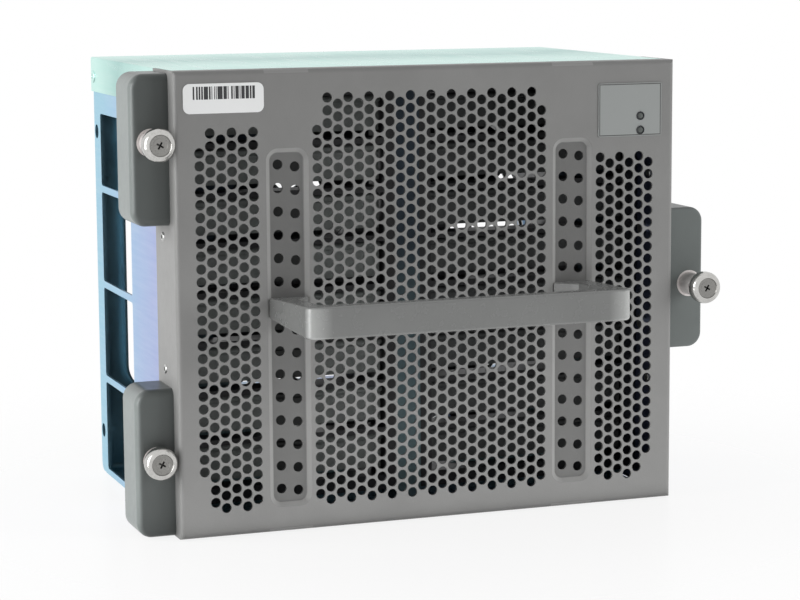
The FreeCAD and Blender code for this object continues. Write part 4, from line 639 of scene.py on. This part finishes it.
# %% [markdown]
# Seats
#
# A turned piece is made at the origin on the Y axis and then carried to its seat, head outwards. The seats
# come from the solids themselves: a node may hold several separate solids, and each one's box tells where
# its piece goes. The carried copies are joined into one object, which rides on the body of the node that it
# stands for.

# %% Seat


def seats_of(node):
    """Lowest and highest corner of each separate solid in a node."""
    bm = bmesh.new()
    bm.from_mesh(nodes[node].data)
    bmesh.ops.remove_doubles(bm, verts=bm.verts, dist=1e-6)
    waiting = set(bm.verts)
    boxes = []
    while waiting:
        found = [waiting.pop()]
        for vert in found:
            for edge in vert.link_edges:
                other = edge.other_vert(vert)
                if other in waiting:
                    waiting.remove(other)
                    found.append(other)
        low = [min(v.co[i] for v in found) for i in range(3)]
        high = [max(v.co[i] for v in found) for i in range(3)]
        boxes.append((Vector(low), Vector(high)))
    bm.free()
    return sorted(boxes, key=lambda pair: tuple(round(v, 6) for v in pair[0]))


def body_of(node):
    bodies = frame["record"]["behaviour"]["bodies"]
    return next(body for body, members in bodies.items() if node in members)


def seat_pieces(name, mesh, places, node):
    """Copies the mesh to each place (a matrix), joins the copies and lets them stand for a node."""
    bm = bmesh.new()
    for place in places:
        copy = mesh.copy()
        copy.transform(place)
        bm.from_mesh(copy)
        bpy.data.meshes.remove(copy)
    joined = mesh_from(name, bm)
    for material in mesh.materials:
        joined.materials.append(material)
    piece = add_object(name, joined)
    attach(piece, body_of(node))
    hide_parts(node)
    print(name, "for", node, len(joined.polygons), "faces on", body_of(node))
    return piece


def head_towards(axis, head_at):
    """Turns the lathe's -Y, where the head looks, to a side of the tray and moves it to head_at."""
    turns = {"-Y": 0.0, "+X": math.pi / 2, "-X": -math.pi / 2}
    return Matrix.Translation(head_at) @ Matrix.Rotation(turns[axis], 4, "Z")


def side_places(boxes):
    """Places of pieces whose heads look out of the nearer side of the tray."""
    places = []
    for low, high in boxes:
        middle = (low + high) / 2
        axis, face_x = ("-X", low.x) if middle.x < 0 else ("+X", high.x)
        places.append(head_towards(axis, Vector((face_x, middle.y, middle.z))))
    return places


print("seats ready")

# %% [markdown]
# Captive thumbscrews
#
# The head is a round-shouldered knob with a stepped, dished face and a cross recess. Behind it a long
# frosted skirt slides in the ear's sleeve, with a groove for the retaining ring, and a thin neck ends in
# the thread. The knob's shoulder is an arc of a few points. The thread is a saw outline, which turns into
# fine ridges. One mesh has four finishes: a face's distance from the axis and from the head decides which
# one it gets.

# %% Thumbscrews
HEAD_R, FACE_R, SKIRT_R, GROOVE_R, NECK_R, THREAD_R = 6.6, 4.3, 4.6, 3.6, 2.0, 2.5
HEAD_T, DISH, WELL_R, WELL_DEEP = 5.0, 0.5, 3.3, 0.25
CROSS_R, CROSS_ARM, CROSS_DEEP, SCREW_TURN = 2.4, 0.55, 1.9, 0.5
GROOVE, SKIRT_END = (22.85, 24.15), 24.4
THREAD_LEN, THREAD_TIP, THREAD_TURNS, THREAD_CUT = 5.5, 1.0, 7, 0.32
KNOB, FACE, RECESS, SKIRT = range(4)


def thumbscrew_outline(length):
    rim = FACE_R + 0.5
    points = [(0.0, DISH + WELL_DEEP), (WELL_R - 0.6, DISH + WELL_DEEP),
              (WELL_R - 0.3, DISH + 0.2 * WELL_DEEP), (WELL_R, DISH), (FACE_R - 0.3, DISH)]
    points += arc((FACE_R + 0.25, 0.3), (0.4, 0.3), 170, 60, 5)
    points += arc((rim - 0.2, 2.6), (HEAD_R - rim + 0.2, 2.4), 78, 0, 8)
    points += arc((HEAD_R - 0.7, HEAD_T - 0.7), (0.7, 0.7), 0, -90, 5)
    points += [(SKIRT_R, HEAD_T), (SKIRT_R, GROOVE[0]), (GROOVE_R, GROOVE[0]), (GROOVE_R, GROOVE[1]),
               (SKIRT_R, GROOVE[1]), (SKIRT_R, SKIRT_END), (NECK_R, SKIRT_END)]
    start = length - THREAD_TIP - THREAD_LEN
    pitch = THREAD_LEN / THREAD_TURNS
    points.append((NECK_R, start))
    for turn in range(THREAD_TURNS):
        at = start + turn * pitch
        points += [(THREAD_R - THREAD_CUT, at + 0.1 * pitch), (THREAD_R, at + 0.5 * pitch)]
    points += [(THREAD_R - THREAD_CUT, length - THREAD_TIP), (THREAD_R - THREAD_TIP, length), (0.0, length)]
    return points


def thumbscrew_finish(face):
    """The slot of a face of the uncut screw."""
    from_axis = math.hypot(face.center.x, face.center.z)
    if from_axis < FACE_R * MM and face.center.y < MM:
        return FACE
    if from_axis > GROOVE_R * MM and (HEAD_T + 0.1) * MM < face.center.y < GROOVE[0] * MM:
        return SKIRT
    return KNOB


for node in [name for name in nodes if name.startswith("thumbscrew_")]:
    low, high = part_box(node)
    bm = lathe(thumbscrew_outline((high.y - low.y) / MM), 64)
    blank = mesh_from("thumbscrew_blank", bm)
    for finish in (nickel, screw_face, recess_dark, frosted):
        blank.materials.append(finish)
    for face in blank.polygons:
        face.material_index = thumbscrew_finish(face)
    turned = cut_away(blank, cross_cutter(CROSS_R, CROSS_ARM, CROSS_DEEP, DISH))
    for face in turned.polygons:
        inside = math.hypot(face.center.x, face.center.z) < (CROSS_R + 0.2) * MM
        if inside and (DISH + WELL_DEEP + 0.05) * MM < face.center.y < (HEAD_T - 1.0) * MM:
            face.material_index = RECESS
    smooth_by_angle(turned, 32)
    middle = Vector(((low.x + high.x) / 2, low.y, (low.z + high.z) / 2))
    place = head_towards("-Y", middle) @ Matrix.Rotation(SCREW_TURN, 4, "Y")
    seat_pieces(node.replace("thumbscrew", "turned_screw"), turned, [place], node)

# %% [markdown]
# Blind rivets
#
# The rivets in the panel's flanges have a low dome with a dark hole where the mandrel broke off. They are
# lathe work again: the dome is an arc, and the far end is a squashed bead.

# %% Rivets
RIVET_R, CORE_R, SHANK_R = 1.9, 0.85, 1.5
rivet_seats = seats_of("flange_rivets")
rivet_len = (rivet_seats[0][1].x - rivet_seats[0][0].x) / MM
rivet_outline = [(0.0, 0.45), (CORE_R - 0.1, 0.45), (CORE_R, 0.1)]
rivet_outline += arc((CORE_R, 0.6), (RIVET_R - CORE_R, 0.6), 80, 0, 6)
rivet_outline += [(SHANK_R, 0.6), (SHANK_R, rivet_len - 0.6), (RIVET_R, rivet_len - 0.6),
                  (RIVET_R - 0.2, rivet_len - 0.2), (RIVET_R - 0.8, rivet_len), (0.0, rivet_len)]
rivet = mesh_from("rivet", lathe(rivet_outline, 32))
rivet.materials.append(plated)
rivet.materials.append(recess_dark)
for face in rivet.polygons:
    face.material_index = int(math.hypot(face.center.x, face.center.z) < CORE_R * MM and face.center.y < MM)
smooth_by_angle(rivet, 35)
seat_pieces("blind_rivets", rivet, side_places(rivet_seats), "flange_rivets")

# %% [markdown]
# Cover screws
#
# The screws at the sides of the cover are flat pan heads with a small cross. They share the cover's finish,
# so only their shape sets them off from it.

# %% Cover screws
PAN_R, PAN_T = 2.6, 0.5
cover_seats = seats_of("cover_screws")
cover_len = (cover_seats[0][1].x - cover_seats[0][0].x) / MM
cover_outline = [(0.0, 0.0), (PAN_R - 0.6, 0.0), (PAN_R - 0.25, 0.1), (PAN_R - 0.05, 0.3), (PAN_R, PAN_T),
                 (SHANK_R, PAN_T), (SHANK_R, cover_len), (0.0, cover_len)]
cover_screw = mesh_from("cover_screw", lathe(cover_outline, 40))
cover_screw.materials.append(cover_zinc)
cover_screw = cut_away(cover_screw, cross_cutter(1.5, 0.35, 0.8, 0.0))
smooth_by_angle(cover_screw, 35)
seat_pieces("cross_head_screws", cover_screw, side_places(cover_seats), "cover_screws")

# %% [markdown]
# Indicator lenses
#
# The two lenses on the status plate are unlit domes that look grey, each in a dark rim. A collar behind the
# panel keeps them from falling out.

# %% Lenses
LENS_R, RIM_IN, COLLAR, COLLAR_AT = 1.75, 1.25, 1.0, (2.0, 3.0)
lens_clear = moulded("lens_grey", linear(72, 76, 74), 0.14, 1200.0)
lens_seats = seats_of("indicator_lenses")
lens_low, lens_high = lens_seats[0]
lens_len = (lens_high.y - lens_low.y) / MM
lens_outline = [(0.0, 0.1)] + arc((0.0, 0.42), (RIM_IN, 0.3), 75, 10, 5)
lens_outline += [(RIM_IN + 0.05, 0.45), (RIM_IN + 0.2, 0.05), (LENS_R - 0.1, 0.05), (LENS_R, 0.2),
                 (LENS_R, COLLAR_AT[0]), (LENS_R + COLLAR, COLLAR_AT[0]), (LENS_R + COLLAR, COLLAR_AT[1]),
                 (LENS_R, COLLAR_AT[1]), (LENS_R, lens_len), (0.0, lens_len)]
lens = mesh_from("lens", lathe(lens_outline, 40))
lens.materials.append(lens_clear)
lens.materials.append(fan_black)
for face in lens.polygons:
    face.material_index = int(math.hypot(face.center.x, face.center.z) > RIM_IN * MM)
smooth_by_angle(lens, 35)
lens_places = [head_towards("-Y", Vector(((a.x + b.x) / 2, a.y, (a.z + b.z) / 2))) for a, b in lens_seats]
seat_pieces("domed_lenses", lens, lens_places, "indicator_lenses")

# %% [markdown]
# Parts on the control board
#
# The lowest side window looks onto the control board. Its parts are small, so a few strokes are enough. The
# capacitors are turned cans with a crimped neck and a scored lid, the controller is a thin moulded square
# with bent legs, the choke a ferrite block with a round core, and the two headers are shrouds with a lip. A
# cube with bevelled edges starts most of them, made to the box of the solid that it stands for.

# %% Shapes of board parts
SLEEVE, LID, MOULD, LEG = range(4)
board_finishes = [moulded("can_sleeve", linear(34, 40, 62), 0.35), plated, connector_black, plated]
board_bm = bmesh.new()


def add_part(bm, finish):
    """Joins a part to the board's mesh; the finish is a slot number or a rule that gives one for a face."""
    mesh = mesh_from("board_part", bm)
    for face in mesh.polygons:
        face.material_index = finish(face) if callable(finish) else finish
    board_bm.from_mesh(mesh)
    bpy.data.meshes.remove(mesh)


def block(low, high, edge):
    """A box between two corners with rounded edges, all in metres."""
    bm = bmesh.new()
    bmesh.ops.create_cube(bm, size=1.0)
    bmesh.ops.scale(bm, vec=high - low, verts=bm.verts)
    bmesh.ops.translate(bm, vec=(low + high) / 2, verts=bm.verts)
    bmesh.ops.bevel(bm, geom=bm.edges[:], offset=edge, segments=2, profile=0.5, affect="EDGES", material=-1)
    return bm


def can(low, high):
    """A capacitor: sleeve, crimped neck and a scored lid."""
    r, h = (high.x - low.x) / 2 / MM, (high.z - low.z) / MM
    outline = [(0.0, 0.3), (0.74 * r, 0.3), (0.78 * r, 0.0), (r - 0.5, 0.0), (r - 0.1, 0.3), (r, 0.8),
               (r, h - 2.6), (r - 0.45, h - 2.2), (r - 0.45, h - 1.7), (r, h - 1.3), (r, h - 0.4),
               (r - 0.3, h), (0.0, h)]
    turned = cut_away(mesh_from("can", lathe(outline, 40)), cross_cutter(0.6 * r, 0.12, 0.25, 0.3))
    middle = (low + high) / 2
    upright = Matrix.Rotation(-math.pi / 2, 4, "X")
    turned.transform(Matrix.Translation((middle.x, middle.y, high.z)) @ upright)
    bm = bmesh.new()
    bm.from_mesh(turned)
    bpy.data.meshes.remove(turned)
    lid_z = high.z - 0.6 * MM
    add_part(bm, lambda face: LID if face.center.z > lid_z else SLEEVE)


def chip(low, high):
    """A controller: a moulded square that stands on rows of bent legs."""
    inset, foot, leg_w, count = 1.1 * MM, 0.25 * MM, 0.35 * MM, 9
    body_low, body_high = low + Vector((inset, inset, foot)), high - Vector((inset, inset, 0.0))
    add_part(block(body_low, body_high, 0.15 * MM), MOULD)
    middle, half = (low + high) / 2, (high.x - low.x) / 2
    for quarter in range(4):
        for i in range(count):
            at = (i - (count - 1) / 2) * 1.0 * MM
            toe = block(Vector((at - leg_w / 2, half - 0.7 * MM, 0.0)),
                        Vector((at + leg_w / 2, half, 0.2 * MM)), 0.04 * MM)
            shoulder = block(Vector((at - leg_w / 2, half - 1.2 * MM, 0.15 * MM)),
                             Vector((at + leg_w / 2, half - 0.55 * MM, 0.9 * MM)), 0.06 * MM)
            for bm in (toe, shoulder):
                bmesh.ops.rotate(bm, cent=(0, 0, 0), matrix=Matrix.Rotation(quarter * math.pi / 2, 3, "Z"),
                                 verts=bm.verts)
                bmesh.ops.translate(bm, vec=(middle.x, middle.y, low.z), verts=bm.verts)
                add_part(bm, LEG)


def choke(low, high):
    """A ferrite block with a round core in its top."""
    drop = Vector((0.0, 0.0, 0.5 * MM))
    add_part(block(low, high - drop, 0.9 * MM), MOULD)
    r = 0.38 * (high.x - low.x) / MM
    core = lathe([(0.0, 0.0), (r - 0.2, 0.0), (r, 0.2), (r, 1.2), (0.0, 1.2)], 36)
    middle = (low + high) / 2
    bmesh.ops.transform(core, matrix=Matrix.Translation((middle.x, middle.y, high.z))
                        @ Matrix.Rotation(-math.pi / 2, 4, "X"), verts=core.verts)
    add_part(core, LEG)


def header(low, high):
    """A plug in its shroud: a body, a lip round its middle and two polarising ribs."""
    lip = Vector((0.6 * MM, 0.6 * MM, 0.0))
    split = low.z + 0.55 * (high.z - low.z)
    add_part(block(low, Vector((high.x, high.y, split)), 0.3 * MM), MOULD)
    add_part(block(Vector((low.x, low.y, split - 0.2 * MM)) + lip, high - lip, 0.35 * MM), MOULD)
    for side in (0.3, 0.7):
        x = low.x + side * (high.x - low.x)
        add_part(block(Vector((x - 0.4 * MM, low.y, split - 0.3 * MM)),
                       Vector((x + 0.4 * MM, low.y + 1.2 * MM, high.z - 0.8 * MM)), 0.15 * MM), MOULD)


print("shapes of board parts ready")

# %% [markdown]
# Which part is which
#
# The solids don't say what they are, but their proportions do: a flat square is the controller, a tall
# round one a capacitor, a cube the choke, and an oblong one a header.

# %% Board parts
for low, high in seats_of("board_parts"):
    size = high - low
    square = abs(size.x - size.y) < 0.2 * MM
    if square and size.z < 0.5 * size.x:
        chip(low, high)
    elif square and size.z > 1.2 * size.x:
        can(low, high)
    elif square:
        choke(low, high)
    else:
        header(low, high)
board_mesh = mesh_from("fitted_board_parts", board_bm)
for finish in board_finishes:
    board_mesh.materials.append(finish)
smooth_by_angle(board_mesh, 40)
seat_pieces("fitted_board_parts", board_mesh, [Matrix()], "board_parts")

# %% [markdown]
# The floor
#
# The photograph is a product shot on white, with only a faint shadow under the tray. The floor is a pale
# disc that fades out towards the white world. Seen directly it is mostly white by itself, which lifts it to
# the background and leaves the soft shadow. As a surface that throws light back it stays an ordinary pale
# floor.

# %% Floor
FLOOR_RADIUS, FLOOR_DROP = 1.6, 0.0005
FADE_START, FADE_END, FLOOR_LIFT = 0.09, 0.34, 0.84
bm = bmesh.new()
bmesh.ops.create_circle(bm, cap_ends=True, segments=96, radius=FLOOR_RADIUS)
bmesh.ops.translate(bm, vec=(0.0, 0.0, -FLOOR_DROP), verts=bm.verts)
floor = add_object("studio_floor", mesh_from("studio_floor", bm))
floor_white, tree, shader, place = start_finish("floor_white")
shader.inputs["Base Color"].default_value = (0.93, 0.93, 0.93, 1.0)
shader.inputs["Roughness"].default_value = 0.28
shader.inputs["Specular IOR Level"].default_value = 0.35
reach = tree.nodes.new("ShaderNodeVectorMath")
reach.operation = "LENGTH"
tree.links.new(place, reach.inputs[0])
fade = add_span(tree, reach.outputs["Value"], FADE_START, FADE_END, 0.0, 1.0, smooth=True)


def add_blend(tree, factor, first, second):
    blend = tree.nodes.new("ShaderNodeMixShader")
    tree.links.new(factor, blend.inputs["Fac"])
    tree.links.new(first, blend.inputs[1])
    tree.links.new(second, blend.inputs[2])
    return blend.outputs["Shader"]


def seen_directly(tree):
    """1 for rays from the camera, a reflection or through glass, 0 for light that falls on a surface."""
    path = tree.nodes.new("ShaderNodeLightPath")
    straight = add_math(tree, "MAXIMUM", path.outputs["Is Camera Ray"], path.outputs["Is Transmission Ray"])
    return add_math(tree, "MAXIMUM", straight, path.outputs["Is Glossy Ray"])


white = tree.nodes.new("ShaderNodeEmission")
lifted = add_math(tree, "MULTIPLY", seen_directly(tree), FLOOR_LIFT)
ground = add_blend(tree, lifted, shader.outputs["BSDF"], white.outputs["Emission"])
clear = tree.nodes.new("ShaderNodeBsdfTransparent")
ground = add_blend(tree, fade, ground, clear.outputs["BSDF"])
tree.links.new(ground, tree.nodes["Material Output"].inputs["Surface"])
floor.data.materials.append(floor_white)
print("floor fades out from", FADE_START, "to", FADE_END, "m")

# %% [markdown]
# The world
#
# The world is white to the camera and in reflections. As a light it is dimmer, most of all in front and
# overhead, because the photograph's light comes mainly from the sides. The direction of a ray is all that
# this needs: its depth axis sets one factor and its height another.

# %% World
WORLD_FRONT, WORLD_BACK, OVERHEAD_SHARE = 0.4, 1.0, 0.45
world = bpy.data.worlds.new("studio_world")
bpy.context.scene.world = world
world.use_nodes = True
tree = world.node_tree
sky = tree.nodes["Background"]
sky.inputs["Color"].default_value = (1.0, 1.0, 1.0, 1.0)
heading = add_axes(tree, tree.nodes.new("ShaderNodeTexCoord").outputs["Generated"])
depth_light = add_span(tree, heading["Y"], -0.4, 0.5, WORLD_FRONT, WORLD_BACK)
height_light = add_span(tree, heading["Z"], 0.1, 1.0, 1.0, OVERHEAD_SHARE)
dimming = add_math(tree, "MULTIPLY", depth_light, height_light)
strength = add_math(tree, "MAXIMUM", seen_directly(tree), dimming)
tree.links.new(strength, sky.inputs["Strength"])
print("world lights with", WORLD_FRONT, "in front and", WORLD_BACK, "behind")

# %% [markdown]
# The lamps
#
# A soft light stands at the left and a slightly weaker one in front to the right. A weak lamp flat on the
# floor works like a white card and lights the lower part of the panel. Shiny metal would show these lamps
# as hard white patches, so they light surfaces and leave reflections alone. One strip at the left does the
# opposite: it shows only in reflections, where it draws the bright edges of the screws and the handle.

# %% Lamps


def soft_light(name, place, target, size, power, mirrored=False):
    """A rectangular lamp; a mirrored one shows only in reflections, any other only lights surfaces."""
    data = bpy.data.lights.new(name, "AREA")
    data.shape = "RECTANGLE"
    data.size, data.size_y = size
    data.energy = power
    lamp = bpy.data.objects.new(name, data)
    aim = (Vector(target) - Vector(place)).to_track_quat("-Z", "Y").to_matrix().to_4x4()
    lamp.matrix_world = Matrix.Translation(place) @ aim
    lamp.visible_camera = False
    lamp.visible_glossy = mirrored
    lamp.visible_diffuse = not mirrored
    bpy.context.scene.collection.objects.link(lamp)
    return lamp


soft_light("left_softbox", (-1.3, 0.15, 0.4), TRAY_MIDDLE, (0.9, 1.0), 20.0)
soft_light("left_strip", (-1.05, -0.35, 0.3), TRAY_MIDDLE, (0.5, 0.9), 9.0, mirrored=True)
soft_light("right_softbox", (1.25, -1.0, 0.45), TRAY_MIDDLE, (0.9, 0.9), 17.0)
soft_light("floor_card", (0.0, -0.18, 0.001), (0.0, -0.18, 1.0), (0.6, 0.26), 0.6)

# %% [markdown]
# Last look
#
# The colours are shown without a film curve.

# %% Finish
bpy.context.scene.view_settings.view_transform = "Standard"
